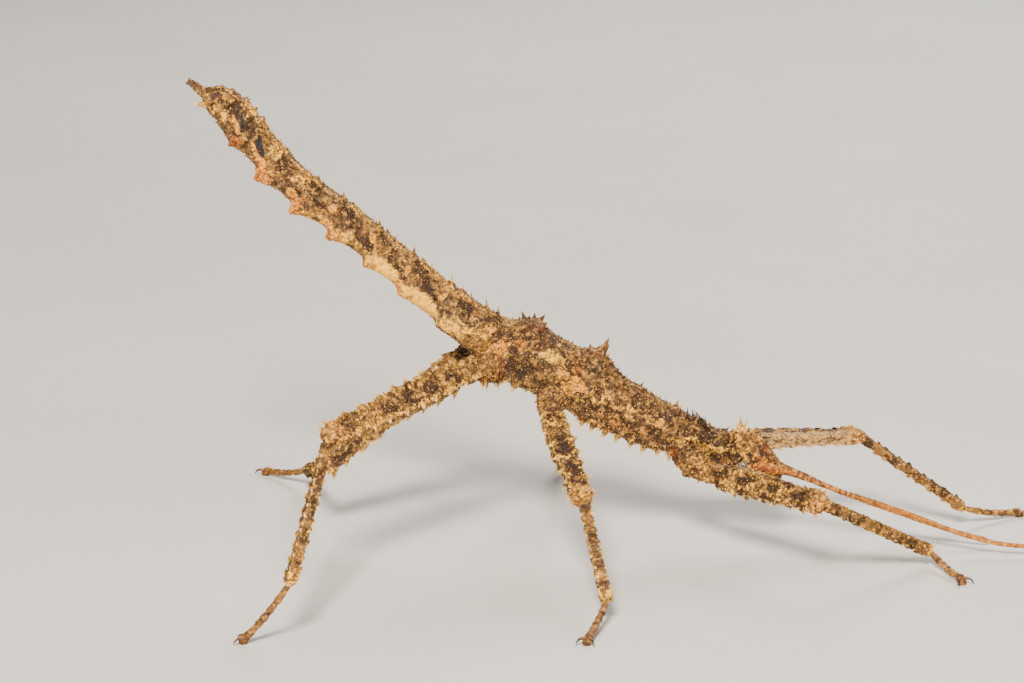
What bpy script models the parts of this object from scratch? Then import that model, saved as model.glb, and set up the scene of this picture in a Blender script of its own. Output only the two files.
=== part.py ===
"""Obrimus bicolanus, a spiny stick insect, life-size, standing with its abdomen raised.

Shapes are worked out in millimetres in the insect's own frame: +X towards the head, +Y to
its left, +Z up, the body in the plane Y = 0 and the floor at Z = 0. Each finished sub-part is
scaled to metres, and the whole is moved so that the origin lies on the floor under its middle.
"""

import math
import random

import bmesh
import bpy
from mathutils import Matrix, Vector

MM = 0.001
GAP = 0.3
SEED = 20

# The body line, from the front of the head to the tip of the abdomen.
HEAD_FRONT = Vector((24.1, 0.0, 6.9))
BODY_LINE = (
    ("head", 5.2, 22.0),
    ("prothorax", 3.4, 24.0),
    ("mesothorax", 12.1, 26.6),
    ("metathorax", 8.0, 23.8),
    ("abdomen_segment_01", 5.0, 35.5),
    ("abdomen_segment_02", 4.4, 40.0),
    ("abdomen_segment_03", 4.0, 40.5),
    ("abdomen_segment_04", 4.0, 38.5),
    ("abdomen_segment_05", 3.9, 37.0),
    ("abdomen_segment_06", 4.0, 45.0),
    ("abdomen_segment_07", 3.6, 53.0),
    ("abdomen_segment_08", 2.0, 50.0),
    ("abdomen_segment_09", 1.3, 46.0),
    ("abdomen_segment_10", 1.3, 37.0),
)

# Cross-sections of each length, front to rear: share of its length, half width, and the
# heights of the back, of the widest level and of the belly above or below the body line.
SECTIONS = {
    "head": (
        (0.00, 0.70, 0.20, -0.55, -1.20),
        (0.11, 1.00, 0.70, -0.50, -1.50),
        (0.32, 1.40, 1.45, -0.35, -1.80),
        (0.45, 1.60, 1.85, -0.30, -1.90),
        (0.70, 1.75, 1.80, -0.30, -1.90),
        (0.92, 1.50, 1.80, -0.20, -1.70),
        (1.00, 1.15, 1.45, -0.20, -1.40),
    ),
    "prothorax": (
        (0.00, 1.20, 1.20, -0.50, -1.50),
        (0.25, 1.45, 1.30, -0.50, -1.70),
        (0.55, 1.55, 1.05, -0.60, -1.80),
        (1.00, 1.60, 1.25, -0.60, -1.90),
    ),
    "mesothorax": (
        (0.00, 1.60, 1.20, -0.90, -2.10),
        (0.12, 1.90, 1.20, -1.20, -2.50),
        (0.25, 2.10, 1.30, -1.50, -2.90),
        (0.50, 2.45, 1.55, -1.80, -3.10),
        (0.70, 2.75, 1.90, -1.80, -3.20),
        (0.84, 2.95, 2.75, -1.60, -3.10),
        (0.94, 3.10, 2.75, -1.40, -2.90),
        (1.00, 3.05, 2.50, -1.20, -2.70),
    ),
    "metathorax": (
        (0.00, 3.05, 2.45, -1.15, -2.70),
        (0.18, 3.35, 2.35, -1.00, -2.75),
        (0.42, 3.55, 2.70, -0.90, -2.70),
        (0.57, 3.55, 3.10, -0.90, -2.70),
        (0.70, 3.40, 2.90, -0.90, -2.60),
        (0.87, 2.90, 2.25, -0.80, -2.40),
        (1.00, 2.50, 2.20, -0.60, -2.20),
    ),
    "abdomen_segment_08": (
        (0.00, 1.65, 2.00, -0.20, -1.35),
        (0.50, 1.60, 2.20, -0.10, -1.25),
        (1.00, 1.50, 2.25, 0.00, -1.15),
    ),
    "abdomen_segment_09": (
        (0.00, 1.45, 2.20, 0.00, -1.10),
        (0.50, 1.38, 2.10, 0.05, -1.05),
        (1.00, 1.25, 1.90, 0.10, -0.95),
    ),
    "abdomen_segment_10": (
        (0.00, 1.20, 1.85, 0.10, -0.90),
        (0.40, 0.98, 1.45, 0.05, -0.80),
        (0.75, 0.70, 0.85, 0.00, -0.60),
        (1.00, 0.42, 0.42, 0.00, -0.42),
    ),
}
# The other abdomen segments, front end and rear end: half width, back and belly.
ABDOMEN_ENDS = {
    "abdomen_segment_01": ((2.45, 2.25, -1.90), (2.05, 2.10, -1.50)),
    "abdomen_segment_02": ((2.00, 2.05, -1.35), (1.90, 2.00, -1.35)),
    "abdomen_segment_03": ((1.85, 1.95, -1.15), (1.80, 1.90, -1.25)),
    "abdomen_segment_04": ((1.75, 1.95, -1.05), (1.75, 2.00, -1.20)),
    "abdomen_segment_05": ((1.70, 2.00, -0.98), (1.70, 2.00, -1.18)),
    "abdomen_segment_06": ((1.65, 1.95, -0.95), (1.70, 2.05, -1.18)),
    "abdomen_segment_07": ((1.65, 2.00, -0.95), (1.70, 2.10, -1.15)),
}
ABDOMEN_STEPS = (0.0, 0.25, 0.50, 0.72, 0.90, 1.0)
ABDOMEN_WAIST = 0.08
# The flap at each rear corner of a segment's belly: how far it stands out.
FLAP_HEIGHTS = (0.50, 0.65, 0.80, 0.95, 1.05, 1.15, 0.90)
FLAP_ANGLE = 127.0
FLAP_SPREAD = 27.0
FLAP_CREST = 0.90

BODY_SIDES = 16
SPINE_CLEARANCE = 0.55

# Spines on each length: share of its length, angle from the middle of the back, height and
# half width at the root, and how far they lean to the rear, in degrees. Each is a pair.
SPINES = {
    "head": (
        (0.92, 16, 1.10, 0.32, 6),
        (0.80, 20, 0.70, 0.28, -8),
        (0.66, 22, 0.70, 0.28, -15),
        (0.92, 44, 0.55, 0.24, 5),
        (0.78, 52, 0.50, 0.24, 0),
    ),
    "prothorax": (
        (0.22, 28, 0.60, 0.26, 0),
        (0.86, 18, 1.10, 0.26, 35),
        (0.60, 62, 0.40, 0.24, 0),
    ),
    "mesothorax": (
        (0.19, 18, 0.90, 0.34, 0),
        (0.13, 36, 0.50, 0.26, 0),
        (0.49, 16, 0.45, 0.26, 0),
        (0.88, 15, 1.50, 0.50, 0),
        (0.95, 22, 0.45, 0.22, 0),
        (0.62, 34, 0.40, 0.26, 0),
    ),
    "metathorax": (
        (0.20, 20, 0.40, 0.26, 0),
        (0.54, 15, 1.00, 0.34, -5),
        (0.68, 24, 0.65, 0.28, 0),
        (0.40, 40, 0.40, 0.26, 0),
    ),
}
# Rows along the flanks: first and last share, number, angle, and heights at the row's ends.
FLANK_ROWS = {
    "prothorax": ((0.20, 0.75, 2, 98, 0.40, 0.45),),
    "mesothorax": ((0.12, 0.86, 9, 118, 0.60, 0.90), (0.25, 0.90, 4, 70, 0.30, 0.35)),
    "metathorax": ((0.30, 0.90, 6, 118, 0.50, 1.00), (0.25, 0.80, 3, 70, 0.30, 0.35)),
}
# The pairs of each abdomen segment: height at the rear edge of the back, and farther forward.
ABDOMEN_SPINES = ((0.95, 0.80), (0.95, 0.55), (0.85, 0.50), (0.75, 0.40), (0.45, 0.30),
                  (0.45, 0.30), (0.45, 0.30))
REAR_SPINE_LEAN = 30

# Each leg by the places of its joints: the coxa's root inside the thorax, the hip between
# coxa and femur, the knee, the ankle and the foot's pad on the floor.
LEGS = {
    "fore_right": ((15.1, -0.6, 8.8), (17.0, -2.7, 7.6), (26.6, -12.5, 7.4),
                   (36.8, -6.9, 1.3), (38.9, -12.2, 0.0)),
    "fore_left": ((15.6, 0.8, 9.2), (17.2, 3.1, 8.6), (31.3, 3.4, 9.0),
                  (41.2, 4.6, 1.8), (46.7, 7.7, 0.0)),
    "mid_right": ((4.3, -1.4, 14.8), (3.0, -3.9, 13.8), (6.1, -13.5, 8.0),
                  (7.9, -23.0, 2.1), (6.2, -28.1, 0.0)),
    "mid_left": ((4.3, 1.4, 14.8), (3.0, 3.9, 13.8), (4.2, 12.6, 6.6),
                 (5.0, 22.9, 1.8), (5.3, 28.3, 0.0)),
    "hind_right": ((0.0, -1.6, 17.0), (-3.1, -3.3, 17.1), (-15.4, -16.5, 14.5),
                   (-18.1, -28.4, 5.4), (-21.9, -27.9, 0.0)),
    "hind_left": ((0.0, 1.6, 17.4), (-3.1, 3.3, 17.6), (-17.0, 2.7, 6.2),
                  (-19.4, 17.0, 1.8), (-23.6, 21.4, 0.0)),
}
# Half thicknesses of each pair of legs in the plane that the leg bends in: coxa, femur, knee,
# tibia and the tibia's end. Broad says how many times wider they are across that plane.
LEG_SIZES = {
    "fore": {"coxa": 1.30, "femur": 0.62, "knee": 0.62, "tibia": 0.37, "end": 0.46,
             "broad": 1.70, "shin_broad": 1.30},
    "mid": {"coxa": 1.20, "femur": 1.00, "knee": 0.90, "tibia": 0.45, "end": 0.56,
            "broad": 0.95, "shin_broad": 1.00},
    "hind": {"coxa": 1.30, "femur": 1.22, "knee": 1.05, "tibia": 0.43, "end": 0.54,
             "broad": 0.80, "shin_broad": 1.00},
}
# Outlines, as shares of the length and of the half thickness. The knee and the end follow.
COXA_OUTLINE = ((0.0, 0.90), (0.35, 1.00), (0.70, 0.95), (0.90, 0.82), (1.0, 0.60))
FEMUR_OUTLINE = ((0.0, 0.78), (0.07, 0.86), (0.12, 0.74), (0.22, 0.95), (0.45, 1.00),
                 (0.70, 0.88), (0.88, 0.84))
TIBIA_OUTLINE = ((0.0, 1.00), (0.06, 1.15), (0.14, 1.00), (0.40, 1.00), (0.70, 1.00),
                 (0.90, 1.08))
KNEE_SHARE = 0.96
KNEE_END = 0.62
# Spines under each coxa: their number and height.
COXA_SPINES = {"fore": (2, 0.45), "mid": (2, 0.45), "hind": (3, 0.95)}
TOOTH_ROWS = {"fore": (7, 4), "mid": (6, 4), "hind": (8, 5)}

TARSUS_HEIGHT = 0.50
TARSUS_SAG = 0.08
TARSOMERE_ENDS = (0.0, 0.30, 0.46, 0.60, 0.72, 1.0)
TARSUS_THICKNESS = 0.29
TARSUS_END_THICKNESS = 0.42
PAD_RADIUS = 0.42
# The pad between the claws: height above the floor, and share of its radius.
PAD_ROWS = ((0.0, 0.8), (0.18, 1.0), (0.45, 0.85), (0.62, 0.4))

# The pointed tip of the egg plate, under the last segment, given as the spines are.
EGG_PLATE_TIP = (0.62, math.pi, 1.25, 0.28, 24)

EYE_RADIUS = 0.40
EYE_SHARE = 0.68
EYE_ANGLE = 99.0
EYE_GAP = 0.15

# A palp: how far each point lies below its root, aside of it and ahead of it, and its radius.
PALP_ROWS = ((-0.5, 0.0, 0.0, 0.26), (0.25, 0.15, 0.0, 0.25), (0.60, 0.22, 0.35, 0.25),
             (0.75, 0.15, 0.95, 0.27), (0.70, 0.05, 1.35, 0.16))
# The plate over the mouth: how far ahead of the head's end, half width, top and bottom.
LABRUM_ROWS = ((-0.7, 0.75, 0.1, -1.0), (0.1, 0.62, -0.1, -1.15), (0.35, 0.42, -0.45, -1.1))

ANTENNA_SHARE = 0.36
ANTENNA_ANGLE = 84.0
ANTENNA_ROUTES = {
    "right": ((25.6, -1.5, 6.6), (29.3, -1.9, 5.3), (33.2, -2.3, 4.1), (36.6, -2.9, 3.0),
              (39.6, -3.6, 2.0), (43.0, -4.2, 1.2), (46.8, -4.6, 0.9)),
    "left": ((25.8, 0.4, 6.3), (29.4, 0.1, 4.7), (33.3, -0.5, 3.4), (36.7, -1.0, 2.3),
             (39.7, -1.4, 1.4), (42.6, -1.8, 0.8)),
}
SCAPE_RADII = (0.36, 0.40, 0.46, 0.34, 0.32, 0.33)
ANTENNA_THICKNESS = (0.30, 0.25)
ANTENNA_TIP = 0.14

COLOURS = {
    "bark_brown": (0.19, 0.11, 0.055, 1.0),
    "head_brown": (0.27, 0.13, 0.055, 1.0),
    "abdomen_tan": (0.34, 0.20, 0.10, 1.0),
    "leg_tan": (0.35, 0.22, 0.11, 1.0),
    "foot_brown": (0.36, 0.20, 0.11, 1.0),
    "feeler_brown": (0.30, 0.15, 0.06, 1.0),
    "eye_grey": (0.33, 0.31, 0.27, 1.0),
}


def clear_scene():
    """Remove what the startup file holds."""
    for obj in list(bpy.data.objects):
        bpy.data.objects.remove(obj, do_unlink=True)


def material_named(name, roughness=0.7):
    """A Principled material of one of the insect's colours, made once."""
    found = bpy.data.materials.get(name)
    if found is None:
        found = bpy.data.materials.new(name)
        found.use_nodes = True
        shader = found.node_tree.nodes["Principled BSDF"]
        shader.inputs["Base Color"].default_value = COLOURS[name]
        shader.inputs["Roughness"].default_value = roughness
        shader.inputs["Metallic"].default_value = 0.0
    return found


def mixed(first, last, share):
    """The value a share of the way from first to last."""
    return first + (last - first) * share


def smooth_through(rows, share):
    """Values at this share of the length, on a smooth curve through the rows."""
    last = len(rows) - 1
    index = 0
    while index < last - 1 and share > rows[index + 1][0]:
        index += 1
    before = rows[max(index - 1, 0)]
    start = rows[index]
    end = rows[index + 1]
    after = rows[min(index + 2, last)]
    span = end[0] - start[0]
    u = (share - start[0]) / span
    values = []
    for column in range(1, len(start)):
        rise_in = (end[column] - before[column]) / (end[0] - before[0]) * span
        rise_out = (after[column] - start[column]) / (after[0] - start[0]) * span
        values.append(
            (2 * u**3 - 3 * u**2 + 1) * start[column]
            + (u**3 - 2 * u**2 + u) * rise_in
            + (3 * u**2 - 2 * u**3) * end[column]
            + (u**3 - u**2) * rise_out
        )
    return values


class BodyLine:
    """The bent middle line of the body, and the place of each length on it."""

    def __init__(self):
        self.starts = {}
        rows = [(0.0, HEAD_FRONT.x, HEAD_FRONT.z)]
        for name, length, pitch in BODY_LINE:
            at, x, z = rows[-1]
            self.starts[name] = (at, length)
            slope = math.radians(pitch)
            rows.append((at + length, x - length * math.cos(slope), z + length * math.sin(slope)))
        self.rows = rows

    def frame(self, name, share):
        """Point on the line, the direction to the rear and the direction of the back."""
        start, length = self.starts[name]
        at = start + share * length
        step = 0.05
        x, z = smooth_through(self.rows, at)
        next_x, next_z = smooth_through(self.rows, at + step)
        rear = Vector((next_x - x, 0.0, next_z - z)).normalized()
        return Vector((x, 0.0, z)), rear, Vector((-rear.z, 0.0, rear.x)) * -1.0


LINE = BodyLine()


def flap(name, share, angle):
    """How far the flap at a rear corner of the belly stands out here."""
    number = int(name[-2:])
    if number > len(FLAP_HEIGHTS):
        return 0.0
    if share <= FLAP_CREST:
        along = (share / FLAP_CREST) ** 3
    else:
        along = (1.0 - share) / (1.0 - FLAP_CREST)
    off = (abs(math.degrees(angle)) - FLAP_ANGLE) / FLAP_SPREAD
    return FLAP_HEIGHTS[number - 1] * along * math.exp(-off * off)


def section_of(name, share):
    """Half width, back, widest level and belly of a length at this share of it."""
    if name in SECTIONS:
        return smooth_through(SECTIONS[name], share)
    front, rear = ABDOMEN_ENDS[name]
    waist = ABDOMEN_WAIST * math.sin(math.pi * share)
    width = mixed(front[0], rear[0], share) - waist
    back = mixed(front[1], rear[1], share) - waist
    belly = mixed(front[2], rear[2], share) + waist
    return width, back, mixed(back, belly, 0.6), belly


def body_point(name, share, angle, swell=0.0):
    """The point of a length's surface at an angle from the middle of the back."""
    width, back, widest, belly = section_of(name, share)
    middle, rear, up = LINE.frame(name, share)
    if name.startswith("abdomen"):
        swell += flap(name, share, angle)
    side = math.sin(angle)
    rise = math.cos(angle)
    across = math.copysign(abs(side) ** 0.9, side) * (width + swell)
    height = back - widest if rise >= 0 else widest - belly
    level = widest + math.copysign(abs(rise) ** 0.9, rise) * (height + swell)
    return middle + up * level + Vector((0.0, across, 0.0))


def body_normal(name, share, angle):
    """Outward direction of a length's surface."""
    step = 0.02
    along = body_point(name, share + step, angle) - body_point(name, share - step, angle)
    around = body_point(name, share, angle + step) - body_point(name, share, angle - step)
    return along.cross(around).normalized() * -1.0


def new_object(name, mesh):
    """An object of this mesh, linked to the scene."""
    obj = bpy.data.objects.new(name, mesh)
    bpy.context.scene.collection.objects.link(obj)
    return obj


def skin_over(name, rings, tip=None):
    """A closed solid over rings of as many points, each ring capped, or drawn to a tip."""
    shape = bmesh.new()
    rows = [[shape.verts.new(point) for point in ring] for ring in rings]
    sides = len(rows[0])
    for first, second in zip(rows, rows[1:]):
        for i in range(sides):
            j = (i + 1) % sides
            shape.faces.new((first[i], first[j], second[j], second[i]))
    shape.faces.new(list(reversed(rows[0])))
    if tip is None:
        shape.faces.new(rows[-1])
    else:
        point = shape.verts.new(tip)
        for i in range(sides):
            shape.faces.new((rows[-1][i], rows[-1][(i + 1) % sides], point))
    bmesh.ops.recalc_face_normals(shape, faces=shape.faces)
    mesh = bpy.data.meshes.new(name)
    shape.to_mesh(mesh)
    shape.free()
    return new_object(name, mesh)


def combined(base, others, operation):
    """The base joined with, or cut by, the others, which are then removed."""
    if not others:
        return base
    group = bpy.data.collections.new("operands")
    bpy.context.scene.collection.children.link(group)
    for other in others:
        bpy.context.scene.collection.objects.unlink(other)
        group.objects.link(other)
    modifier = base.modifiers.new("fuse", "BOOLEAN")
    modifier.operation = operation
    modifier.operand_type = "COLLECTION"
    modifier.collection = group
    modifier.solver = "EXACT"
    bpy.context.view_layer.update()
    graph = bpy.context.evaluated_depsgraph_get()
    mesh = bpy.data.meshes.new_from_object(base.evaluated_get(graph))
    base.modifiers.clear()
    base.data = mesh
    for other in others:
        bpy.data.objects.remove(other, do_unlink=True)
    bpy.data.collections.remove(group)
    return base


def keep_largest(obj):
    """Drop every loose surface of a mesh but the largest."""
    shape = bmesh.new()
    shape.from_mesh(obj.data)
    left = set(shape.verts)
    islands = []
    while left:
        todo = [left.pop()]
        island = set(todo)
        while todo:
            vertex = todo.pop()
            for edge in vertex.link_edges:
                other = edge.other_vert(vertex)
                if other in left:
                    left.remove(other)
                    island.add(other)
                    todo.append(other)
        islands.append(island)
    islands.sort(key=len)
    for island in islands[:-1]:
        bmesh.ops.delete(shape, geom=list(island), context="VERTS")
    shape.to_mesh(obj.data)
    shape.free()


def finish(obj, root, colour):
    """Give the sub-part its origin at its root, its real scale and its material."""
    keep_largest(obj)
    obj.data.transform(Matrix.Translation(-root))
    obj.data.transform(Matrix.Scale(MM, 4))
    obj.location = root * MM
    obj.data.materials.clear()
    obj.data.materials.append(material_named(colour))
    obj.data.shade_smooth()
    obj.data.set_sharp_from_angle(angle=math.radians(35))
    return obj


def ring_at(name, share, swell=0.0):
    """The points around a length at this share of it."""
    angles = [2 * math.pi * i / BODY_SIDES for i in range(BODY_SIDES)]
    return [body_point(name, share, wrapped(angle), swell) for angle in angles]


def wrapped(angle):
    """The same angle between minus half a turn and half a turn."""
    return (angle + math.pi) % (2 * math.pi) - math.pi


def body_solid(name, swell=0.0):
    """A length of the body, with the gap left at both ends, or grown by the swell."""
    length = LINE.starts[name][1]
    if name in SECTIONS:
        shares = [row[0] for row in SECTIONS[name]]
    else:
        shares = list(ABDOMEN_STEPS)
    margin = (GAP / 2 - swell) / length
    shares[0] += margin
    shares[-1] -= margin
    return skin_over(name, [ring_at(name, share, swell) for share in shares])


def spine(root, direction, height, radius, sides=5):
    """A thin cone that stands on root, with its foot sunk into what it grows from."""
    sunk = 0.35 + 0.3 * radius
    across = direction.orthogonal().normalized()
    over = direction.cross(across)
    foot = root - direction * sunk
    flare = radius * min(1.0 + sunk / height, 1.4)
    ring = []
    for i in range(sides):
        turn = 2 * math.pi * i / sides
        ring.append(foot + (across * math.cos(turn) + over * math.sin(turn)) * flare)
    return skin_over("spine", [ring], tip=root + direction * height)


def body_spine(name, share, angle, height, radius, lean):
    """A spine on a length of the body, leaning to the rear by some degrees."""
    root = body_point(name, share, angle)
    rear = LINE.frame(name, share)[1]
    direction = body_normal(name, share, angle)
    axis = direction.cross(rear).normalized()
    direction = Matrix.Rotation(math.radians(lean), 3, axis) @ direction
    return spine(root, direction.normalized(), height, radius)


def spines_of(name, draw):
    """All the spines on one length of the body, in pairs that differ a little."""
    pairs = list(SPINES.get(name, ()))
    for first, last, number, angle, low, high in FLANK_ROWS.get(name, ()):
        for i in range(number):
            share = i / (number - 1)
            height = mixed(low, high, share) * draw.uniform(0.8, 1.15)
            pairs.append((mixed(first, last, share), angle, height, 0.30, 0))
    if name.startswith("abdomen"):
        number = int(name[-2:])
        if number <= len(ABDOMEN_SPINES):
            rear, front = ABDOMEN_SPINES[number - 1]
            pairs.append((0.88, 18, rear, 0.28, REAR_SPINE_LEAN))
            pairs.append((0.55, 20, front, 0.26, REAR_SPINE_LEAN))
            pairs.append((0.70, 62, 0.30, 0.24, 0))
    made = []
    for share, angle, height, radius, lean in pairs:
        for side in (1, -1):
            turn = math.radians(angle + draw.uniform(-2, 2)) * side
            place = share + draw.uniform(-0.012, 0.012)
            tall = height * draw.uniform(0.92, 1.08)
            tilt = lean + draw.uniform(-5, 5)
            top = body_point(name, place, turn, swell=tall)
            if not near_a_leg(top):
                made.append(body_spine(name, place, turn, tall, radius, tilt))
    return made


def near_a_leg(point):
    """Whether a spine's tip would come too close to a coxa or the root of a femur."""
    for name, joints in LEGS.items():
        thick = LEG_SIZES[name.split("_")[0]]["coxa"]
        root, hip, knee = map(Vector, joints[:3])
        for start, end in ((root, hip), (hip, hip.lerp(knee, 0.5))):
            share = (point - start).dot(end - start) / (end - start).length_squared
            nearest = start.lerp(end, min(max(share, 0.0), 1.0))
            if (point - nearest).length < thick + SPINE_CLEARANCE:
                return True
    return False


def tube(name, points, radii, up, sides, corner=1.0, broad=1.0, swell=0.0):
    """A closed tube over points, with raised corners if corner is over 1."""
    rings = []
    for i, point in enumerate(points):
        before = points[max(i - 1, 0)]
        after = points[min(i + 1, len(points) - 1)]
        along = (after - before).normalized()
        over = (up - along * up.dot(along)).normalized()
        across = along.cross(over)
        ring = []
        for k in range(sides):
            turn = 2 * math.pi * k / sides
            reach = radii[i] * (corner if k % 2 else 1.0)
            rise = over * math.cos(turn) * (reach + swell)
            ring.append(point + rise + across * math.sin(turn) * (reach * broad + swell))
        rings.append(ring)
    return skin_over(name, rings)


def straight(start, end, shares):
    """Points at these shares of a straight line."""
    return [start.lerp(end, share) for share in shares]


class Leg:
    """The joints of one leg, and the plane that it bends in."""

    def __init__(self, name):
        self.pair = name.split("_")[0]
        self.size = LEG_SIZES[self.pair]
        self.root, self.hip, self.knee, self.ankle, self.foot = map(Vector, LEGS[name])
        thigh = (self.knee - self.hip).normalized()
        shin = (self.ankle - self.knee).normalized()
        self.bend = thigh.cross(shin).normalized()
        self.femur_up = thigh.cross(self.bend).normalized() * -1.0
        self.tibia_up = shin.cross(self.bend).normalized() * -1.0
        if self.femur_up.z < 0:
            self.femur_up *= -1.0
            self.tibia_up *= -1.0
            self.bend *= -1.0

    def coxa(self, swell=0.0):
        """The short stout piece that joins the leg to the thorax."""
        thick = self.size["coxa"]
        along = self.hip - self.root
        shares = [share for share, size in COXA_OUTLINE]
        shares[-1] += swell / along.length
        radii = [thick * size for share, size in COXA_OUTLINE]
        points = straight(self.root, self.hip, shares)
        return tube("coxa", points, radii, along.orthogonal(), 10, swell=swell)

    def coxa_spines(self, draw):
        """The spines that hang from the underside of the coxa."""
        number, height = COXA_SPINES[self.pair]
        along = (self.hip - self.root).normalized()
        down = Vector((0.0, 0.0, -1.0))
        out = (down - along * down.dot(along)).normalized()
        made = []
        for i in range(number):
            share = mixed(0.45, 0.85, i / (number - 1))
            turn = math.radians(draw.uniform(-20, 20))
            direction = Matrix.Rotation(turn, 3, along) @ out
            root = self.root.lerp(self.hip, share) + direction * self.size["coxa"] * 0.85
            made.append(spine(root, direction, height * draw.uniform(0.8, 1.1), 0.24, sides=4))
        return made

    def femur(self, swell=0.0):
        """The thigh with its narrow trochanter at the root and the rounded knee."""
        thick = self.size["femur"]
        knee = self.size["knee"]
        length = (self.knee - self.hip).length
        shares = [share for share, size in FEMUR_OUTLINE]
        shares[0] -= (GAP + swell) / length
        shares += [KNEE_SHARE, 1.0 + (0.5 * knee + swell) / length]
        radii = [thick * size for share, size in FEMUR_OUTLINE]
        radii += [knee, knee * KNEE_END]
        points = straight(self.hip, self.knee, shares)
        broad = self.size["broad"]
        return tube("femur", points, radii, self.femur_up, 8, 1.12, broad, swell)

    def tibia(self, swell=0.0):
        """The shin, from the knee to its widened end."""
        thick = self.size["tibia"]
        length = (self.ankle - self.knee).length
        shares = [share for share, size in TIBIA_OUTLINE]
        shares.append(1.0 - (GAP / 2 - swell) / length)
        radii = [thick * size for share, size in TIBIA_OUTLINE]
        radii.append(self.size["end"])
        points = straight(self.knee, self.ankle, shares)
        broad = self.size["shin_broad"]
        return tube("tibia", points, radii, self.tibia_up, 8, 1.15, broad, swell)

    def teeth(self, start, end, up, thickness, broad, rows, first, last, height, draw):
        """Rows of teeth along the four edges of a femur or a tibia."""
        along = (end - start).normalized()
        across = along.cross(up).normalized()
        made = []
        for edge in range(4):
            turn = math.radians(45 + 90 * edge)
            corner = (up * math.cos(turn) + across * math.sin(turn) * broad) * thickness
            out = corner.normalized()
            for i in range(rows):
                share = mixed(first, last, (i + 0.5 * (edge % 2)) / (rows - 0.5))
                share += draw.uniform(-0.01, 0.01)
                root = start.lerp(end, share) + corner
                direction = (out + along * draw.uniform(0.1, 0.35)).normalized()
                made.append(spine(root, direction, height * draw.uniform(0.8, 1.2), 0.22, sides=4))
        return made

    def knee_spines(self, draw):
        """The larger spines that stand round the knee."""
        along = (self.knee - self.hip).normalized()
        made = []
        for turn in (-42, 42, -118, 118):
            out = Matrix.Rotation(math.radians(turn), 3, along) @ self.femur_up
            root = self.knee - along * 0.25 + out * self.size["knee"] * 0.95
            direction = (out + along * 0.7).normalized()
            made.append(spine(root, direction, 0.75 * draw.uniform(0.85, 1.15), 0.26, sides=4))
        return made

    def tarsus_line(self):
        """Points of the foot's bent middle line, from the ankle to over the pad."""
        reach = self.foot - self.ankle
        ahead = Vector((reach.x, reach.y, 0.0)).normalized()
        end = self.foot + Vector((0.0, 0.0, TARSUS_HEIGHT))
        control = self.ankle.lerp(end, 0.5) - Vector((0.0, 0.0, reach.length * TARSUS_SAG))
        points = []
        for share in self.tarsus_shares():
            first = self.ankle.lerp(control, share)
            points.append(first.lerp(control.lerp(end, share), share))
        return points, ahead

    def tarsus_shares(self):
        """Shares of the foot's length at which its outline changes."""
        length = (self.foot - self.ankle).length
        shares = [GAP / 2 / length]
        for first, last in zip(TARSOMERE_ENDS, TARSOMERE_ENDS[1:]):
            if first:
                shares.append(first + 0.02)
            shares.append(mixed(first, last, 0.8))
        shares.append(1.0)
        return shares

    def tarsus(self):
        """The five-jointed foot with its pad, flat on the floor, and two claws."""
        points, ahead = self.tarsus_line()
        shares = self.tarsus_shares()
        radii = []
        for i, share in enumerate(shares):
            thick = mixed(TARSUS_THICKNESS, TARSUS_END_THICKNESS, share**2)
            swollen = 1.12 if i % 2 else 0.92
            radii.append(thick * swollen)
        up = Vector((0.0, 0.0, 1.0))
        side = ahead.cross(up).normalized()
        base = tube("tarsus", points, radii, up, 8)
        pieces = [self.pad(ahead, side)]
        for turn in (1, -1):
            pieces.append(self.claw(points[-1], ahead, side * turn))
        return combined(base, pieces, "UNION")

    def pad(self, ahead, side):
        """The round pad between the claws, whose flat underside stands on the floor."""
        middle = self.foot + ahead * 0.15
        rings = []
        for height, radius in PAD_ROWS:
            ring = []
            for k in range(8):
                turn = 2 * math.pi * k / 8
                reach = (ahead * math.cos(turn) + side * math.sin(turn)) * PAD_RADIUS * radius
                ring.append(middle + reach + Vector((0.0, 0.0, height)))
            rings.append(ring)
        return skin_over("pad", rings)

    def claw(self, root, ahead, side):
        """A claw that curves outwards and down to just above the floor."""
        up = Vector((0.0, 0.0, 1.0))
        points = (
            root + side * 0.05 - ahead * 0.1,
            root + side * 0.45 + ahead * 0.35 + up * 0.05,
            root + side * 0.72 + ahead * 0.62 - up * 0.10,
        )
        tip = root + side * 0.78 + ahead * 0.85 - up * (TARSUS_HEIGHT - 0.10)
        rings = []
        for point, radius in zip(points, (0.24, 0.20, 0.14)):
            along = (tip - points[0]).normalized()
            over = (up - along * up.dot(along)).normalized()
            across = along.cross(over)
            ring = []
            for k in range(5):
                turn = 2 * math.pi * k / 5
                ring.append(point + (over * math.cos(turn) + across * math.sin(turn)) * radius)
            rings.append(ring)
        return skin_over("claw", rings, tip=tip)


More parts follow.
